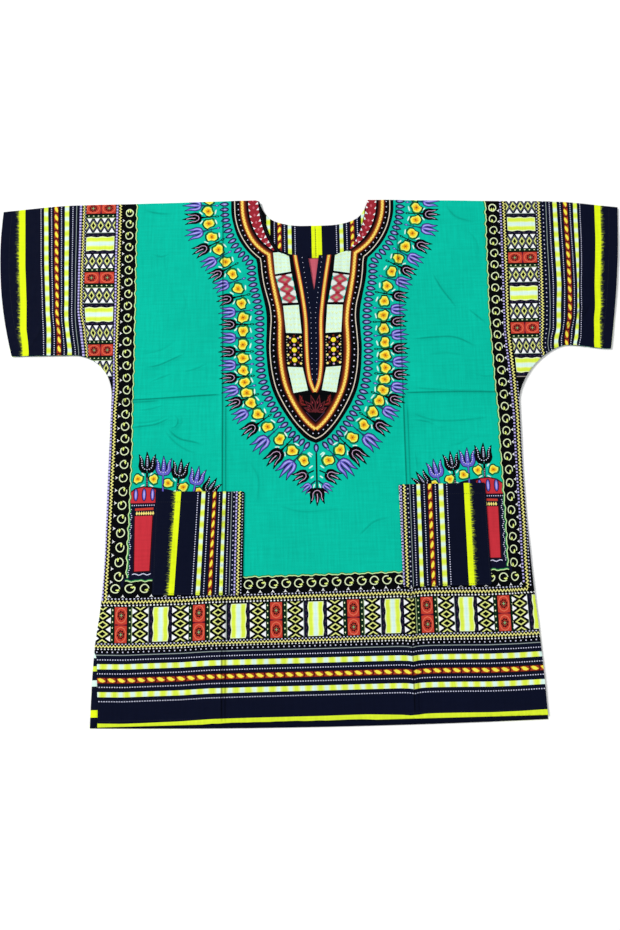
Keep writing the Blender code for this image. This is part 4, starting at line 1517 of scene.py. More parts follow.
# Pressed folds: a line, its half width, its height, how much steeper one side is, and
# how much painted shade darkens the colour in its sharp bottom.
FOLDS = (
    (((-0.1392, 0.404), (-0.1396, 0.080), (-0.1404, -0.399)), 0.0032, 0.00120, -0.3, 0.62),
    (((0.1372, 0.400), (0.1355, 0.074), (0.1320, -0.396)), 0.0034, 0.00120, 0.3, 0.56),
    (((0.1412, 0.060), (0.1382, -0.398)), 0.0018, 0.00060, 0.0, 0.30),
    (((-0.1346, 0.070), (-0.1354, -0.399)), 0.0018, 0.00050, 0.0, 0.46),
    (
        ((-0.3090, 0.0765), (-0.2600, 0.0775), (-0.2200, 0.0792), (-0.1396, 0.0830)),
        0.0028, 0.00110, 0.3, 0.46,
    ),
    (((-0.3070, 0.0735), (-0.2700, 0.0735), (-0.2350, 0.0750)), 0.0018, 0.00050, 0.0, 0.32),
    (((-0.1396, 0.0830), (0.0000, 0.0800), (0.1355, 0.0800)), 0.0026, 0.00060, 0.3, 0.14),
    (((0.1355, 0.0800), (0.2200, 0.0800), (0.3100, 0.0780)), 0.0028, 0.00110, 0.3, 0.44),
    (((-0.3160, -0.2290), (0.0000, -0.2260), (0.3120, -0.2230)), 0.0024, 0.00030, 0.0, 0.0),
)
# half the width of the sharp valley in the middle of each fold
VALLEY = 0.00100
# half the width of the line of painted shade in the bottoms of folds and wrinkles, and how dark it is in a
# wrinkle 1 mm tall
FOLD_SHADE_HALF = 0.00115
FOLD_SHADE_DARK = 0.46
# Wrinkles: a line, its half width and its height.
WRINKLES = (
    (((-0.284, 0.032), (-0.262, 0.035), (-0.240, 0.038), (-0.218, 0.048)), 0.0020, 0.00085),
    (((-0.280, 0.041), (-0.255, 0.041), (-0.236, 0.045), (-0.222, 0.052)), 0.0019, -0.00036),
    (((-0.223, 0.033), (-0.212, 0.020), (-0.200, 0.013), (-0.183, 0.009), (-0.168, 0.003)), 0.0022, 0.00095),
    (((-0.222, 0.029), (-0.210, 0.034), (-0.207, 0.044), (-0.214, 0.055)), 0.0019, 0.00063),
    (((-0.209, 0.028), (-0.201, 0.040), (-0.204, 0.058)), 0.0017, -0.00030),
    (((-0.262, 0.128), (-0.240, 0.131), (-0.218, 0.140), (-0.196, 0.150)), 0.0022, 0.00072),
    (((-0.268, 0.150), (-0.236, 0.156), (-0.210, 0.172)), 0.0022, -0.00030),
    (((-0.255, 0.318), (-0.236, 0.312), (-0.222, 0.318)), 0.0028, 0.00063),
    (((-0.268, 0.395), (-0.246, 0.388), (-0.220, 0.386)), 0.0029, 0.00074),
    (((-0.206, 0.258), (-0.198, 0.236), (-0.200, 0.210)), 0.0028, -0.00027),
    (((0.190, 0.276), (0.204, 0.248), (0.226, 0.216)), 0.0025, 0.00076),
    (((0.240, 0.218), (0.256, 0.202), (0.272, 0.188)), 0.0022, 0.00072),
    (((0.152, 0.166), (0.186, 0.169), (0.220, 0.168), (0.252, 0.152)), 0.0022, 0.00080),
    (((0.176, 0.141), (0.206, 0.143), (0.236, 0.137)), 0.0022, -0.00033),
    (((0.146, 0.038), (0.172, 0.033), (0.184, 0.026)), 0.0020, 0.00063),
    (((0.176, 0.022), (0.198, 0.024)), 0.0019, 0.00047),
    (((0.150, 0.088), (0.200, 0.083), (0.270, 0.080)), 0.0025, 0.00052),
    (((0.196, -0.004), (0.214, -0.002), (0.240, 0.012)), 0.0022, -0.00027),
    (((0.214, 0.396), (0.232, 0.372), (0.262, 0.362)), 0.0033, 0.00068),
    (((0.246, 0.352), (0.262, 0.330), (0.266, 0.300)), 0.0029, -0.00029),
    (((0.150, -0.008), (0.152, -0.046)), 0.0020, 0.00047),
    (((0.146, 0.049), (0.172, 0.038), (0.206, 0.034), (0.264, 0.039)), 0.0025, 0.00050),
    (((-0.228, 0.030), (-0.214, 0.012), (-0.196, -0.002), (-0.176, -0.010)), 0.0024, 0.00050),
    (((-0.252, 0.104), (-0.232, 0.112), (-0.214, 0.118)), 0.0024, 0.00050),
    (((-0.204, 0.118), (-0.182, 0.124), (-0.160, 0.134)), 0.0026, 0.00040),
    (((-0.272, 0.060), (-0.250, 0.062), (-0.226, 0.068)), 0.0022, 0.00045),
    (((0.242, 0.110), (0.262, 0.104), (0.284, 0.106)), 0.0024, 0.00040),
    (((0.426, 0.222), (0.412, 0.205), (0.396, 0.186), (0.374, 0.160)), 0.0040, 0.00150),
    (((0.436, 0.226), (0.424, 0.204), (0.408, 0.184), (0.392, 0.160)), 0.0034, -0.00070),
    (((-0.420, 0.165), (-0.400, 0.185), (-0.384, 0.214)), 0.0040, 0.00060),
    (((-0.440, 0.160), (-0.424, 0.190), (-0.418, 0.230)), 0.0038, 0.00040),
    (((-0.345, 0.140), (-0.330, 0.165), (-0.322, 0.200)), 0.0034, 0.00045),
    (((0.330, 0.130), (0.322, 0.160), (0.316, 0.200)), 0.0034, 0.00045),
    (((-0.060, -0.090), (-0.020, -0.100), (0.040, -0.096)), 0.0033, 0.00038),
    (((0.060, -0.140), (0.084, -0.118), (0.110, -0.112)), 0.0029, 0.00042),
    (((-0.100, -0.020), (-0.086, -0.052), (-0.090, -0.090)), 0.0033, 0.00038),
)

# how far apart the points of a fold's line lie, and of a wrinkle's
FOLD_STEP = 0.012
WRINKLE_STEP = 0.005

# across x and y, phase and height of each wave of the slack
WAVES = (
    (21.0, 9.0, 0.3, 0.00016), (-13.0, 24.0, 1.9, 0.00014),
    (38.0, -17.0, 4.1, 0.00010), (11.0, 47.0, 2.6, 0.00009),
    (61.0, 26.0, 5.2, 0.00005), (-52.0, 58.0, 0.8, 0.00005),
    (9.0, 88.0, 3.3, 0.00003), (97.0, 12.0, 1.1, 0.00003),
)


def slack(x, y):
    """Low uneven waves of cloth that isn't ironed quite flat."""
    height = np.zeros(len(x))
    for kx, ky, phase, size in WAVES:
        bend = 1.7 * np.sin(5.0 * x + 3.0 * y + phase)
        height += size * np.sin(TURN * (kx * x + ky * y) / 4.0 + phase + bend)
    return height


def front_under(x, y):
    """Height of the front's underside over the floor, as the CAD has it."""
    height = np.full(len(x), CLOTH + SEAM_GAP)
    over = 1.0 - smooth(0.120, 0.150, np.abs(x - NECK_X))
    over *= smooth(NECK_Y - FACING_DROP - 0.045, NECK_Y - FACING_DROP - 0.012, y)
    height += (CLOTH + SEAM_GAP) * over
    for sx, sy, wide, long, tall in SWELLS:
        height += tall * np.exp(-0.5 * (((x - sx) / wide) ** 2 + ((y - sy) / long) ** 2))
    return height


def cuff_x(y):
    """Where the cuffs lie at a height, on the left and on the right."""
    found = []
    share = np.linspace(0, 1, 30)
    for name, sleeve in SLEEVES.items():
        low, high = cuff_ends(name)
        found.append(sleeve["sign"] * np.interp(y, low + (high - low) * share, cuff_out(sleeve, share)))
    return found


# how much higher cloth lies over a turned hem, and over the neck's and the pockets' edges
HEM_RISE = 0.00035
EDGE_RISE = 0.00030

# how far in each hem ends: the rise fades between the two
HEM_END = (0.0085, 0.0098)
CUFF_END = (0.0150, 0.0165)


def hem_layers(x, y):
    """How much higher the cloth lies where its hems are turned under."""
    height = HEM_RISE * (1.0 - smooth(*HEM_END, y - front_hem(x)))
    left, right = cuff_x(y)
    height += HEM_RISE * (1.0 - smooth(*CUFF_END, x - left))
    height += HEM_RISE * (1.0 - smooth(*CUFF_END, right - x))
    near = bump_along(x, y, NECK_LINE, 0.0040, 1.0, 1e-6)
    height += EDGE_RISE * smooth(0.25, 0.45, near)
    return height


NECK_LINE = np.array([
    (NECK_X + out, NECK_Y - float(look_up(NECKLINE, 1, abs(out))))
    for out in NECK_HALF * np.cos(np.linspace(0, math.pi, 40))
])


def front_top(x, y):
    """Height of the front's outer face, with its folds and wrinkles."""
    under = front_under(x, y)
    height = under + CLOTH + hem_layers(x, y)
    for line, half, tall, skew, _ in FOLDS:
        line = spline(line, FOLD_STEP)
        height += bump_along(x, y, line, half, tall, 0.015, skew)
        height += bump_along(x, y, line, VALLEY, -tall - 0.0002, 0.015)
    for line, half, tall in WRINKLES:
        line = spline(line, WRINKLE_STEP)
        height += bump_along(x, y, line, half, tall)
        if tall > 0 and half < 0.0030:
            height += bump_along(x, y, line, VALLEY, -tall - 0.0001)
    height += slack(x, y) * 1.5
    # nowhere much thinner than this
    thin = under + 0.00055
    return thin + 0.5 * (height - thin + np.sqrt((height - thin) ** 2 + 0.00015 ** 2))


def painted_fold_shade(x, y):
    """Painted shade: how much darker the front's colour is painted in the bottoms of its folds and wrinkles,
    from 0 to 1.
    """
    dark = np.zeros(len(x))
    for line, _, _, _, deep in FOLDS:
        if deep > 0:
            dark = np.maximum(dark, bump_along(x, y, spline(line, FOLD_STEP), FOLD_SHADE_HALF, deep, 0.010))
    for line, _, tall in WRINKLES:
        deep = FOLD_SHADE_DARK * abs(tall) / 0.001
        dark = np.maximum(dark, bump_along(x, y, spline(line, WRINKLE_STEP), FOLD_SHADE_HALF, deep, 0.020))
    return dark


def pocket_under(x, y):
    """Height of a pocket's underside: just clear of the front."""
    return front_top(x, y) + POCKET_GAP


def pocket_top(x, y):
    """Height of a pocket's outer face: over the front, with its turned edges."""
    height = front_top(x, y) + CLOTH + POCKET_GAP
    for px, py, wide, long, turn in POCKETS.values():
        u = (x - px) * math.cos(turn) + (y - py) * math.sin(turn)
        v = -(x - px) * math.sin(turn) + (y - py) * math.cos(turn)
        here = (np.abs(u) < wide / 2 + 0.001) & (np.abs(v) < long / 2 + 0.001)
        edge = np.minimum(wide / 2 - np.abs(u), v + long / 2)
        turned = 1.0 - smooth(0.0060, 0.0072, edge) * smooth(0.0170, 0.0185, long / 2 - v)
        height += np.where(here, EDGE_RISE * turned, 0.0)
    return height


def flat_at(level):
    """A surface at one height."""
    return lambda x, y: np.full(len(x), level)


# ---------------------------------------------------------------------------
# Meshes
# ---------------------------------------------------------------------------
def linear(ink):
    """A colour as shaders take it."""
    share = np.array(INKS[ink]) / 255.0
    return np.where(share <= 0.04045, share / 12.92, ((share + 0.055) / 1.055) ** 2.4)


def signed_area(points):
    """Twice the area inside a closed outline, negative if it runs clockwise."""
    x, y = np.asarray(points).T
    return (x * np.roll(y, -1) - np.roll(x, -1) * y).sum()


def turned_left(points):
    """The same corners, anticlockwise."""
    return points if signed_area(points) > 0 else points[::-1]


def inside_shape(points, shape):
    """Which of many places lie inside a shape, by crossings."""
    found = np.zeros(len(points), bool)
    for (x0, y0), (x1, y1) in zip(shape, np.roll(shape, -1, 0)):
        crosses = (points[:, 1] > min(y0, y1)) & (points[:, 1] <= max(y0, y1))
        if crosses.any():
            at = x0 + (points[crosses, 1] - y0) * (x1 - x0) / (y1 - y0)
            found[np.flatnonzero(crosses)[points[crosses, 0] > at]] ^= True
    return found


def cut_cloth(outline, paint, place, ground, extra, rows=()):
    """Cut a flat panel along its print.  Gives points, triangles and an ink for each triangle."""
    verts = [Vector((x, y)) for x, y in outline]
    faces = [list(range(len(outline)))]
    inks = [ground]
    if paint is not None and paint.shapes:
        every = np.array([p for shape in paint.shapes for p in shape])
        x, y = place(every[:, 0], every[:, 1])
        every = np.stack([x, y], 1) / 1000.0
        low, high = outline.min(0) - 0.001, outline.max(0) + 0.001
        start = 0
        for ink, shape in zip(paint.inks, paint.shapes):
            corners = every[start:start + len(shape)]
            start += len(shape)
            if (corners.max(0) < low).any() or (corners.min(0) > high).any():
                continue
            first = len(verts)
            verts.extend(Vector(p) for p in turned_left(corners))
            faces.append(list(range(first, first + len(corners))))
            inks.append(ink)
    verts.extend(Vector(p) for p in extra if p is not None)
    edges = []
    for row in rows:
        first = len(verts)
        verts.extend(Vector(p) for p in row)
        edges.extend((first + i, first + i + 1) for i in range(len(row) - 1))
    points, _, triangles, _, _, owners = delaunay_2d_cdt(verts, edges, faces, 0, 2e-6, True)
    points, triangles = np.array([tuple(p) for p in points]), np.array(triangles)
    in_cloth = np.array([0 in owner for owner in owners])
    # where rounding let a shape's colour run out past its edge, its triangles are found again
    size = doubled_area(points[triangles])
    covered = np.zeros(len(faces))
    flat = [(k, face) for k, owner in enumerate(owners) for face in owner]
    which, owner_of = np.array(flat).T
    np.add.at(covered, owner_of, size[which])
    shapes = [np.array([tuple(verts[v]) for v in face]) for face in faces]
    spilt = {k for k in range(1, len(faces)) if covered[k] > 1.02 * abs(signed_area(shapes[k])) + 2e-7}
    middle = points[triangles].mean(1)
    top = np.array([max((k for k in owner if k not in spilt), default=0) for owner in owners])
    for k in spilt:
        top = np.where(inside_shape(middle, shapes[k]), np.maximum(top, k), top)
    if spilt:
        print(len(spilt), "shapes found again")
    return points, triangles[in_cloth], [inks[k] for k in top[in_cloth]]


def doubled_area(corners):
    """Twice the area of each of many triangles."""
    a, b = corners[:, 1] - corners[:, 0], corners[:, 2] - corners[:, 0]
    return np.abs(a[:, 0] * b[:, 1] - a[:, 1] * b[:, 0])


def rim_loops(triangles):
    """The closed loops of edges that only one triangle has, in that triangle's direction."""
    edges = np.concatenate([triangles[:, [0, 1]], triangles[:, [1, 2]], triangles[:, [2, 0]]])
    twins = set(map(tuple, edges[:, ::-1].tolist()))
    following = {a: b for a, b in edges.tolist() if (a, b) not in twins}
    loops = []
    while following:
        first = next(iter(following))
        loop = [first]
        while True:
            after = following.pop(loop[-1])
            if after == first:
                break
            loop.append(after)
        loops.append(loop)
    return sorted(loops, key=len, reverse=True)


def zip_rims(points, top, low_points, low):
    """Triangles between the rim of the outer face and the rim of the inner face."""
    a, b = points[top], low_points[low]
    start = int(np.argmin(np.hypot(*(b - a[0]).T)))
    low = low[start:] + low[:start]
    b = np.roll(b, -start, 0)
    sa = np.concatenate([[0], np.cumsum(np.hypot(*(np.roll(a, -1, 0) - a).T))])
    sb = np.concatenate([[0], np.cumsum(np.hypot(*(np.roll(b, -1, 0) - b).T))])
    sa, sb = sa / sa[-1], sb / sb[-1]
    i = j = 0
    strips = []
    while i < len(top) or j < len(low):
        upper, lower = top[i % len(top)], low[j % len(low)]
        if j >= len(low) or (i < len(top) and sa[i + 1] <= sb[j + 1]):
            strips.append((("t", upper), ("b", lower), ("t", top[(i + 1) % len(top)])))
            i += 1
        else:
            strips.append((("t", upper), ("b", lower), ("b", low[(j + 1) % len(low)])))
            j += 1
    return strips


def slope_normals(x, y, height):
    """Upward normals of a surface given by its height."""
    e = 0.0004
    dx = (height(x + e, y) - height(x - e, y)) / (2 * e)
    dy = (height(x, y + e) - height(x, y - e)) / (2 * e)
    return unit(np.stack([-dx, -dy, np.ones(len(x))], 1))


# how far apart the rows of a grid lie, next to the step along them
ROW_SHARE = 0.87


def grid_points(outline, step, inset):
    """Even points inside a panel, each second row moved half a step."""
    low, high = outline.min(0), outline.max(0)
    found = np.array([
        (low[0] + (i + 0.5 * (j % 2)) * step, low[1] + j * step * ROW_SHARE)
        for j in range(int((high[1] - low[1]) / (step * ROW_SHARE)) + 1)
        for i in range(int((high[0] - low[0]) / step) + 1)
    ])
    near = np.full(len(found), 1e9)
    for p, q in zip(outline, np.roll(outline, -1, 0)):
        d = q - p
        t = np.clip(((found - p) @ d) / (d @ d), 0, 1)
        near = np.minimum(near, np.hypot(*(found - p - t[:, None] * d).T))
    return found[inside_shape(found, outline) & (near > inset)]


def in_scene(name, data):
    """A new object in the scene, with this mesh, light or camera."""
    piece = bpy.data.objects.new(name, data)
    bpy.context.scene.collection.objects.link(piece)
    return piece


# how far the outer face dips at its rim
RIM_DROP = 0.00035


def cloth_mesh(
    name, outline, top, bottom, top_height, low_height, extra, low_step, rim_kind="t", shade=None, rows=(),
):
    """A closed shell of cloth: its printed outer face, its inner face and the rim between."""
    paint, place, ground = top
    points, faces, colours = cut_cloth(outline, paint, place, ground, extra, rows)
    loops = rim_loops(faces)
    rim = loops[0]
    low_paint, low_place, low_ground = bottom
    low_outline = points[rim] if low_paint is None else outline
    low_extra = grid_points(outline, low_step, 0.003)
    low_points, low_faces, low_colours = cut_cloth(low_outline, low_paint, low_place, low_ground, low_extra)
    low_rim = rim_loops(low_faces)[0]
    used, low_used = np.unique(faces), np.unique(low_faces)
    remap = {("t", v): i for i, v in enumerate(used)}
    remap.update({("b", v): len(used) + i for i, v in enumerate(low_used)})
    px, py = points[used].T
    qx, qy = low_points[low_used].T
    on_rim = np.isin(used, rim)
    z_top = top_height(px, py) - RIM_DROP * on_rim
    vertices = np.vstack([np.stack([px, py, z_top], 1), np.stack([qx, qy, low_height(qx, qy)], 1)])
    strips = zip_rims(points, rim, low_points, low_rim)
    polygons = [[remap[("t", v)] for v in face] for face in faces.tolist()]
    polygons += [[remap[("b", v)] for v in face[::-1]] for face in low_faces.tolist()]
    polygons += [[remap[v] for v in strip] for strip in strips]
    # the rim takes its colours from the face whose print goes round the edge
    inks = list(colours) + list(low_colours)
    ink_of = {}
    printed = zip(faces.tolist(), colours) if rim_kind == "t" else zip(low_faces.tolist(), low_colours)
    for face, ink in printed:
        for v in face:
            ink_of.setdefault(v, ink)
    for strip in strips:
        inks.append(ink_of[next(v for kind, v in strip if kind == rim_kind)])
    # the outer face's normals lean outwards at its rim
    away = np.zeros((len(points), 3))
    way = np.roll(points[rim], -1, 0) - np.roll(points[rim], 1, 0)
    way /= np.linalg.norm(way, axis=1)[:, None]
    away[rim, :2] = np.stack([way[:, 1], -way[:, 0]], 1)
    top_normals = slope_normals(px, py, top_height)
    tilted = unit(top_normals + 0.9 * away[used])
    top_normals = np.where(on_rim[:, None], tilted, top_normals)
    index = np.array(polygons)
    normals = np.vstack([top_normals, -slope_normals(qx, qy, low_height)])[index]
    # the rim's own faces are flat at the inner face's edge
    for k in range(len(faces) + len(low_faces), len(polygons)):
        a, b, c = vertices[index[k]]
        face_way = np.cross(b - a, c - a)
        size = np.linalg.norm(face_way)
        if size > 0:
            normals[k, index[k] >= len(used)] = face_way / size
    mesh = bpy.data.meshes.new(name)
    mesh.vertices.add(len(vertices))
    mesh.vertices.foreach_set("co", vertices.ravel())
    mesh.loops.add(len(polygons) * 3)
    mesh.loops.foreach_set("vertex_index", index.ravel())
    mesh.polygons.add(len(polygons))
    mesh.polygons.foreach_set("loop_start", np.arange(len(polygons)) * 3)
    mesh.polygons.foreach_set("use_smooth", np.ones(len(polygons), bool))
    mesh.update(calc_edges=True)
    table = {ink: linear(ink) for ink in set(inks)}
    rgba = np.ones((len(polygons), 3, 4))
    rgba[:, :, :3] = np.array([table[ink] for ink in inks])[:, None, :]
    # painted shade: the outer face's colours are darkened in the bottoms of folds and wrinkles
    if shade is not None:
        rgba[:len(faces), :, :3] *= 1.0 - shade(px, py)[index[:len(faces)]][:, :, None]
    colour = mesh.color_attributes.new("print", "FLOAT_COLOR", "CORNER")
    colour.data.foreach_set("color", rgba.ravel())
    mesh.validate(verbose=False)
    if len(mesh.polygons) == len(polygons):
        mesh.normals_split_custom_set(normals.reshape(-1, 3).tolist())
    print(name, len(mesh.polygons), "triangles, loops", [len(x) for x in loops[:4]])
    return in_scene(name, mesh)


# ---------------------------------------------------------------------------
# Stitches
# ---------------------------------------------------------------------------
# each cut of a stitch: how far along it and how high, in shares of its length and height
STITCH_CUTS = ((-0.5, -0.6), (-0.22, 0.75), (0.22, 0.75), (0.5, -0.6))
STITCH_TURN = 0.0004


def stitch_mesh(name, runs, height, pitch=0.0029, long=0.0023, wide=0.00030, tall=0.00028):
    """Rows of stitches, each a short thread that stands up in its middle and dips in at its ends."""
    spots = []
    for run in runs:
        line = np.asarray(run, float)
        reached = lengths(line)
        for s in np.arange(pitch / 2, reached[-1] - pitch / 2, pitch):
            for d, rise in STITCH_CUTS:
                at = s + d * long
                x, y = reached_at(line, reached, at)
                x1, y1 = reached_at(line, reached, at + STITCH_TURN)
                x0, y0 = reached_at(line, reached, at - STITCH_TURN)
                size = math.hypot(x1 - x0, y1 - y0) or 1.0
                reach = wide * (1.0 if rise > 0 else 0.45)
                nx, ny = -(y1 - y0) / size * reach, (x1 - x0) / size * reach
                side = rise * tall - 0.6 * tall
                spots += [(x - nx, y - ny, side), (x, y, rise * tall + 0.25 * tall), (x + nx, y + ny, side)]
    x, y, z = np.array(spots).T
    vertices = np.stack([x, y, height(x, y) + z], 1)
    faces = []
    # each stitch has four cuts of three points
    for start in range(0, len(vertices), 12):
        for a in (start, start + 3, start + 6):
            faces += [(a + 3, a + 4, a + 1, a), (a + 4, a + 5, a + 2, a + 1)]
    mesh = bpy.data.meshes.new(name)
    mesh.from_pydata(vertices.tolist(), [], faces)
    mesh.polygons.foreach_set("use_smooth", np.ones(len(faces), bool))
    return in_scene(name, mesh)


# ---------------------------------------------------------------------------
# Materials
# ---------------------------------------------------------------------------
class Nodes:
    """A material's nodes, by short calls."""

    def __init__(self, name):
        self.material = bpy.data.materials.new(name)
        self.material.use_nodes = True
        self.tree = self.material.node_tree
        self.shader = self.tree.nodes["Principled BSDF"]

    def add(self, kind, inputs=None, **settings):
        node = self.tree.nodes.new(kind)
        for key, value in settings.items():
            setattr(node, key, value)
        for key, value in (inputs or {}).items():
            self.put(node.inputs[key], value)
        return node

    def put(self, socket, value):
        if isinstance(value, bpy.types.NodeSocket):
            self.tree.links.new(value, socket)
        else:
            socket.default_value = value

    def math(self, operation, a, b=0.0):
        return self.add("ShaderNodeMath", {0: a, 1: b}, operation=operation).outputs[0]

    def noise(self, where, stretch, scale, detail=3.0):
        moved = self.add("ShaderNodeMapping", {"Vector": where, "Scale": stretch})
        node = self.add("ShaderNodeTexNoise", {"Vector": moved.outputs[0], "Scale": scale, "Detail": detail})
        return node.outputs["Fac"]

    def between(self, value, low, high):
        limits = {"Value": value, "From Min": 0.25, "From Max": 0.75, "To Min": low, "To Max": high}
        return self.add("ShaderNodeMapRange", limits).outputs[0]

    def thread_lines(self, where, direction, period):
        inputs = {
            "Vector": where, "Scale": 0.31416 / period,
            "Distortion": 1.2, "Detail": 1.0, "Detail Scale": 1.0,
        }
        node = self.add(
            "ShaderNodeTexWave", inputs, wave_type="BANDS", bands_direction=direction, wave_profile="SIN",
        )
        return node.outputs["Fac"]


# a noise that isn't stretched, and how far apart the threads of the weave lie
EVEN = (1.0, 1.0, 1.0)
THREAD_PITCH = 0.00052


def printed_cotton(name, turn=0.0, shift=(0.0, 0.0)):
    """Plain-woven printed cotton: its print, uneven dye, slubs, thread lines and a soft sheen."""
    n = Nodes(name)
    here = n.add("ShaderNodeTexCoord").outputs["Object"]
    moved = {"Vector": here, "Rotation": (0.0, 0.0, turn), "Location": (*shift, 0.0)}
    place = n.add("ShaderNodeMapping", moved).outputs[0]
    ink = n.add("ShaderNodeAttribute", attribute_name="print", attribute_type="GEOMETRY").outputs["Color"]
    dye = n.between(n.noise(place, EVEN, 7.0, 5.0), 0.945, 1.045)
    warp = n.between(n.noise(place, (330.0, 22.0, 1.0), 1.0, 3.0), 0.925, 1.075)
    weft = n.between(n.noise(place, (22.0, 330.0, 1.0), 1.0, 3.0), 0.935, 1.065)
    tone = n.math("MULTIPLY", n.math("MULTIPLY", dye, n.math("MULTIPLY", warp, 0.84)), weft)
    tint = n.add("ShaderNodeVectorMath", {0: ink}, operation="SCALE")
    n.put(tint.inputs["Scale"], tone)
    n.put(n.shader.inputs["Base Color"], tint.outputs[0])
    fuzz = n.noise(place, EVEN, 160.0, 4.0)
    n.put(n.shader.inputs["Roughness"], n.between(fuzz, 0.66, 0.84))
    across = n.thread_lines(place, "X", THREAD_PITCH)
    down = n.thread_lines(place, "Y", THREAD_PITCH)
    weave = n.math("ADD", n.math("MULTIPLY", across, 0.5), n.math("MULTIPLY", down, 0.5))
    weave = n.math("ADD", weave, n.math("MULTIPLY", n.noise(place, (500.0, 30.0, 1.0), 1.0), 0.6))
    weave = n.math("ADD", weave, n.math("MULTIPLY", n.noise(place, (30.0, 500.0, 1.0), 1.0), 0.6))
    soft = n.noise(place, EVEN, 46.0, 3.0)
    relief = n.math("ADD", n.math("MULTIPLY", weave, 0.00005), n.math("MULTIPLY", soft, 0.00050))
    bump = n.add("ShaderNodeBump", {"Height": relief, "Strength": 0.55, "Distance": 1.0})
    n.put(n.shader.inputs["Normal"], bump.outputs[0])
    n.shader.inputs["Specular IOR Level"].default_value = 0.03
    n.shader.inputs["Sheen Weight"].default_value = 0.004
    n.shader.inputs["Sheen Roughness"].default_value = 0.5
    return n.material


def sewing_thread(name, ink):
    """Twisted thread of one colour."""
    n = Nodes(name)
    here = n.add("ShaderNodeTexCoord").outputs["Object"]
    inputs = {"Vector": here, "Scale": 420.0, "Distortion": 2.0}
    twist = n.add("ShaderNodeTexWave", inputs, wave_type="BANDS", bands_direction="DIAGONAL").outputs["Fac"]
    tone = n.between(twist, 0.72, 1.10)
    colour = n.add("ShaderNodeVectorMath", {0: tuple(linear(ink))}, operation="SCALE")
    n.put(colour.inputs["Scale"], tone)
    n.put(n.shader.inputs["Base Color"], colour.outputs[0])
    n.put(n.shader.inputs["Roughness"], n.between(n.noise(here, EVEN, 900.0), 0.45, 0.7))
    relief = n.math("MULTIPLY", twist, 0.0001)
    bump = n.add("ShaderNodeBump", {"Height": relief, "Strength": 0.6, "Distance": 1.0})
    n.put(n.shader.inputs["Normal"], bump.outputs[0])
    n.shader.inputs["Specular IOR Level"].default_value = 0.2
    return n.material


# ---------------------------------------------------------------------------
# The shirt
# ---------------------------------------------------------------------------
def flat_panel_points(outline, step):
    """Even points inside a panel, and a row just inside its edge."""
    return [grid_points(outline, step, 0.0016), both_sides(outline, 0.0010, closed=True)[0]]


def make_front():
    """The front, with rows of points along its folds and wrinkles and beside its hems."""
    outline = outline_of("front")
    extra = flat_panel_points(outline, 0.0078)
    rows = []
    for line, half, _, _, _ in FOLDS:
        middle = spline(line, FOLD_STEP)
        rows.append(middle)
        for offset in (VALLEY * 0.9, VALLEY * 2.0):
            rows.extend(both_sides(middle, offset))
        extra.extend(both_sides(middle, half * 1.4))
    for line, half, _ in WRINKLES:
        middle = spline(line, WRINKLE_STEP)
        rows.append(middle)
        rows.extend(both_sides(middle, VALLEY * 1.1))
        extra.extend(both_sides(middle, half * 1.2))
    xs = np.linspace(-0.312, 0.312, 100)
    for up in (0.0083, 0.0099):
        extra.append(np.stack([xs, front_hem(xs) + up], 1))
    ys = np.linspace(0.155, 0.395, 44)
    for side, cuffs in zip((1, -1), cuff_x(ys)):
        for inwards in (0.0148, 0.0167):
            extra.append(np.stack([cuffs + side * inwards, ys], 1))
    for inwards in (0.0035, 0.0050):
        extra.append(both_sides(NECK_LINE, inwards)[0])
    # the front's colours carry painted shade in the bottoms of its folds and wrinkles
    return cloth_mesh(
        "front", outline, (front_print(), laid_print, "teal"), (None, None, "teal"),
        front_top, front_under, np.vstack(extra), 0.02, "t", painted_fold_shade, rows,
    )


def straight(x, y):
    """Leaves the places of a print as they are."""
    return x, y


def make_back():
    """The back, with its outer face down."""
    outline = outline_of("back")
    return cloth_mesh(
        "back", outline,
        (back_inside_print(), straight, "teal"), (back_print(), lambda x, y: (-x, y), "teal"),
        flat_at(CLOTH), flat_at(0.0), grid_points(outline, 0.02, 0.0016), 0.012, "b",
    )


SEAM_X = 0.0074


def make_facing(side):
    """Half of the back neck facing, from its seam at the middle outwards."""
    sign = -1.0 if side == "left" else 1.0
    outs = np.concatenate([[0.0001], np.linspace(0.004, NECK_HALF - 0.001, 46), [FACING_HALF - 0.002]])
    xs = SEAM_X + sign * outs
    tops = [(x, top_edge(x, "back") - FACING_INSET) for x in xs]
    lows = [(x, NECK_Y - FACING_DROP) for x in np.linspace(xs[-1], xs[0], 30)]
    outline = turned_left(np.array(tops + lows))

    def top_height(x, y):
        near = np.abs(x - SEAM_X)
        allowance = 0.00025 * (1 - smooth(0.004, 0.006, near))
        seam = 0.0003 * np.exp(-((near / 0.0012) ** 2))
        return CLOTH + SEAM_GAP + CLOTH + allowance - seam + slack(x + 0.3, y) * 0.8

    return cloth_mesh(
        "facing_" + side, outline, (facing_print(), straight, "navy"), (None, None, "navy"),
        top_height, flat_at(CLOTH + SEAM_GAP), np.vstack(flat_panel_points(outline, 0.0060)), 0.02,
    )


def pocket_frame(side):
    """Turns places on a pocket, from its middle, into places on the shirt."""
    px, py, _, _, turn = POCKETS[side]
    c, s = math.cos(turn), math.sin(turn)
    return lambda u, v: (px + u * c - v * s, py + u * s + v * c)


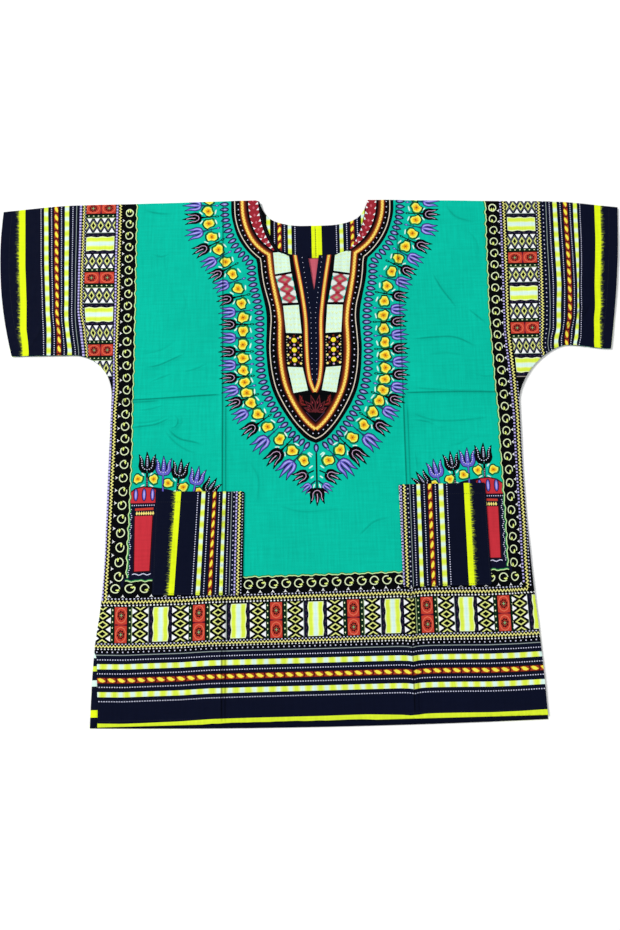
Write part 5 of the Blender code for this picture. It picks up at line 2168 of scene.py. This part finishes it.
def make_pocket(side):
    """A patch pocket: a rectangle with small round corners, laid over the front."""
    wide, long = POCKETS[side][2:4]
    move = pocket_frame(side)
    lean = lean_of(side)
    corners = []
    radius = 0.0022
    for cx, cy, start in ((-1, -1, 180), (1, -1, 270), (1, 1, 0), (-1, 1, 90)):
        x, y = cx * (wide / 2 - radius), cy * (long / 2 - radius)
        for k in range(4):
            a = math.radians(start + 30 * k)
            corners.append((x + radius * math.cos(a), y + radius * math.sin(a)))
    edge = []
    for i, p in enumerate(corners):
        q = corners[(i + 1) % len(corners)]
        steps = max(1, int(math.hypot(q[0] - p[0], q[1] - p[1]) / 0.004))
        for k in range(steps):
            edge.append((p[0] + (q[0] - p[0]) * k / steps, p[1] + (q[1] - p[1]) * k / steps))
    outline = np.stack(move(*np.array(edge).T), 1)

    def place(u, v):
        u, v = lean(u, v)
        x, y = move(u / 1000.0, v / 1000.0)
        return x * 1000.0, y * 1000.0

    extra = flat_panel_points(outline, 0.0045)
    for inwards in (0.0058, 0.0074):
        extra.append(both_sides(outline, inwards, closed=True)[0])
    us = np.linspace(-wide / 2, wide / 2, 34)
    for down in (0.0168, 0.0187):
        extra.append(np.stack(move(us, np.full(len(us), long / 2 - down)), 1))
    return cloth_mesh(
        "pocket_cloth_" + side, outline, (pocket_print(side), place, "navy"), (None, None, "navy"),
        pocket_top, pocket_under, np.vstack(extra), 0.02,
    )


front = make_front()
back = make_back()
facings = {side: make_facing(side) for side in ("left", "right")}
pockets = {side: make_pocket(side) for side in ("left", "right")}

# how far in from the edge the rows of stitches run
HEM_STITCH, CUFF_STITCH, NECK_STITCH = 0.0078, 0.0140, 0.0034
POCKET_STITCH, POCKET_TOP_STITCH = 0.0022, 0.0160
hem_xs = np.linspace(-0.3130, 0.3155, 120)
hem_run = np.stack([hem_xs, front_hem(hem_xs) + HEM_STITCH], 1)
cuff_runs = []
for sign, low, high, at in ((-1, 0.1530, 0.3930, 0), (1, 0.1475, 0.3830, 1)):
    ys = np.linspace(low, high, 50)
    cuff_runs.append(np.stack([cuff_x(ys)[at] - sign * CUFF_STITCH, ys], 1))
# round the neck, down to the slit on each side
neck_run = both_sides(NECK_LINE[2:-2], NECK_STITCH)[0]
neck_run = neck_run[neck_run[:, 1] > 0.311]
neck_runs = [neck_run[side * (neck_run[:, 0] - SLIT_X) > 0] for side in (-1, 1)]
front_stitches = stitch_mesh("front_stitches", [hem_run, *cuff_runs, *neck_runs], front_top)
seam_run = [(SEAM_X, 0.3080), (SEAM_X, 0.3600)]
facing_stitches = stitch_mesh("facing_stitches", [seam_run], flat_at(2 * CLOTH + SEAM_GAP), 0.0040, 0.0030)
pocket_stitches = {}
for side in ("left", "right"):
    _, _, wide, long, _ = POCKETS[side]
    move = pocket_frame(side)
    out, high, low = wide / 2 - POCKET_STITCH, long / 2 - 0.001, -long / 2 + POCKET_STITCH
    top_us = np.linspace(-out, out, 36)
    us = np.concatenate([np.full(40, -out), top_us, np.full(40, out)])
    vs = np.concatenate([np.linspace(high, low, 40), np.full(36, low), np.linspace(low, high, 40)])
    top_vs = np.full(36, long / 2 - POCKET_TOP_STITCH)
    runs = [np.stack(move(us, vs), 1), np.stack(move(top_us, top_vs), 1)]
    pocket_stitches[side] = stitch_mesh("pocket_stitches_" + side, runs, pocket_top)

front.data.materials.append(printed_cotton("front_cotton"))
back.data.materials.append(printed_cotton("back_cotton", 0.02, (0.3, 0.1)))
for facing in facings.values():
    facing.data.materials.append(printed_cotton("facing_cotton", 0.01, (0.7, 0.2)))
for side, pocket in pockets.items():
    pocket.data.materials.append(printed_cotton("pocket_cotton_" + side, -POCKETS[side][4], (0.1, 0.5)))
dark_thread = sewing_thread("dark_thread", "navy")
for piece in (front_stitches, facing_stitches, *pocket_stitches.values()):
    piece.data.materials.append(dark_thread)

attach(front, "root")
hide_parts("front_panel")
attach(back, "root")
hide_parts("back_panel")
for side, facing in facings.items():
    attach(facing, "root")
    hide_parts("neck_facing_" + side)
for side, pocket in pockets.items():
    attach(pocket, "root")
    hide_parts("pocket_" + side)
    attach(pocket_stitches[side], "root")
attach(front_stitches, "root")
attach(facing_stitches, "root")

# ---------------------------------------------------------------------------
# Floor, light and camera
# ---------------------------------------------------------------------------
floor_mesh = bpy.data.meshes.new("floor")
floor_mesh.from_pydata([(x, y, -0.0003) for x, y in box(-3, 3, -3, 3)], [], [(0, 1, 2, 3)])
floor = in_scene("floor", floor_mesh)
paper = Nodes("paper")
paper_place = paper.add("ShaderNodeTexCoord").outputs["Object"]
paper_tone = paper.between(paper.noise(paper_place, EVEN, 3.0), 0.93, 0.95)
paper_grey = paper.add("ShaderNodeCombineColor", {0: paper_tone, 1: paper_tone, 2: paper_tone}).outputs[0]
paper.put(paper.shader.inputs["Base Color"], paper_grey)
paper.shader.inputs["Roughness"].default_value = 0.9
paper.shader.inputs["Specular IOR Level"].default_value = 0.0
floor_mesh.materials.append(paper.material)

world = bpy.data.worlds.new("studio")
bpy.context.scene.world = world
world.use_nodes = True
sky = world.node_tree.nodes["Background"].inputs
sky["Color"].default_value = (1.0, 1.0, 1.0, 1.0)
sky["Strength"].default_value = 0.50


def soft_light(name, place, power, size):
    """A square soft light that faces the middle of the shirt."""
    data = bpy.data.lights.new(name, "AREA")
    data.shape = "SQUARE"
    data.size = size
    data.energy = power
    light = in_scene(name, data)
    light.location = place
    light.rotation_euler = (-Vector(place)).to_track_quat("-Z", "Y").to_euler()


soft_light("key", (-4.6, 2.7, 4.8), 440.0, 1.9)
soft_light("fill", (3.4, -1.9, 4.2), 52.0, 3.0)

# The camera stands over the hem end and looks down at the shirt, a little askew.  The
# photo's focal length, its height and how far its vertical lines meet are in pixels.
FOCAL, PHOTO_HEIGHT, MEET = 900.0, 930.0, 3923.0
VIEW_TILT = math.atan(FOCAL / MEET)
VIEW_ROLL = math.radians(1.15)
VIEW_DISTANCE = 1.35
SENSOR_HEIGHT = 24.0
camera_data = bpy.data.cameras.new("camera")
camera_data.sensor_fit = "VERTICAL"
camera_data.sensor_height = SENSOR_HEIGHT
camera_data.lens = FOCAL / PHOTO_HEIGHT * SENSOR_HEIGHT
camera_data.clip_start = 0.05
camera = in_scene("camera", camera_data)
turned = Matrix.Rotation(-VIEW_ROLL, 4, "Z")
away = Vector((0.0, -math.sin(VIEW_TILT) * VIEW_DISTANCE, math.cos(VIEW_TILT) * VIEW_DISTANCE))
stand_at = turned @ away - Vector((0.009, 0.029, 0.0))
camera.matrix_world = Matrix.Translation(stand_at) @ turned @ Matrix.Rotation(VIEW_TILT, 4, "X")
bpy.context.scene.camera = camera
bpy.context.scene.view_settings.view_transform = "Standard"
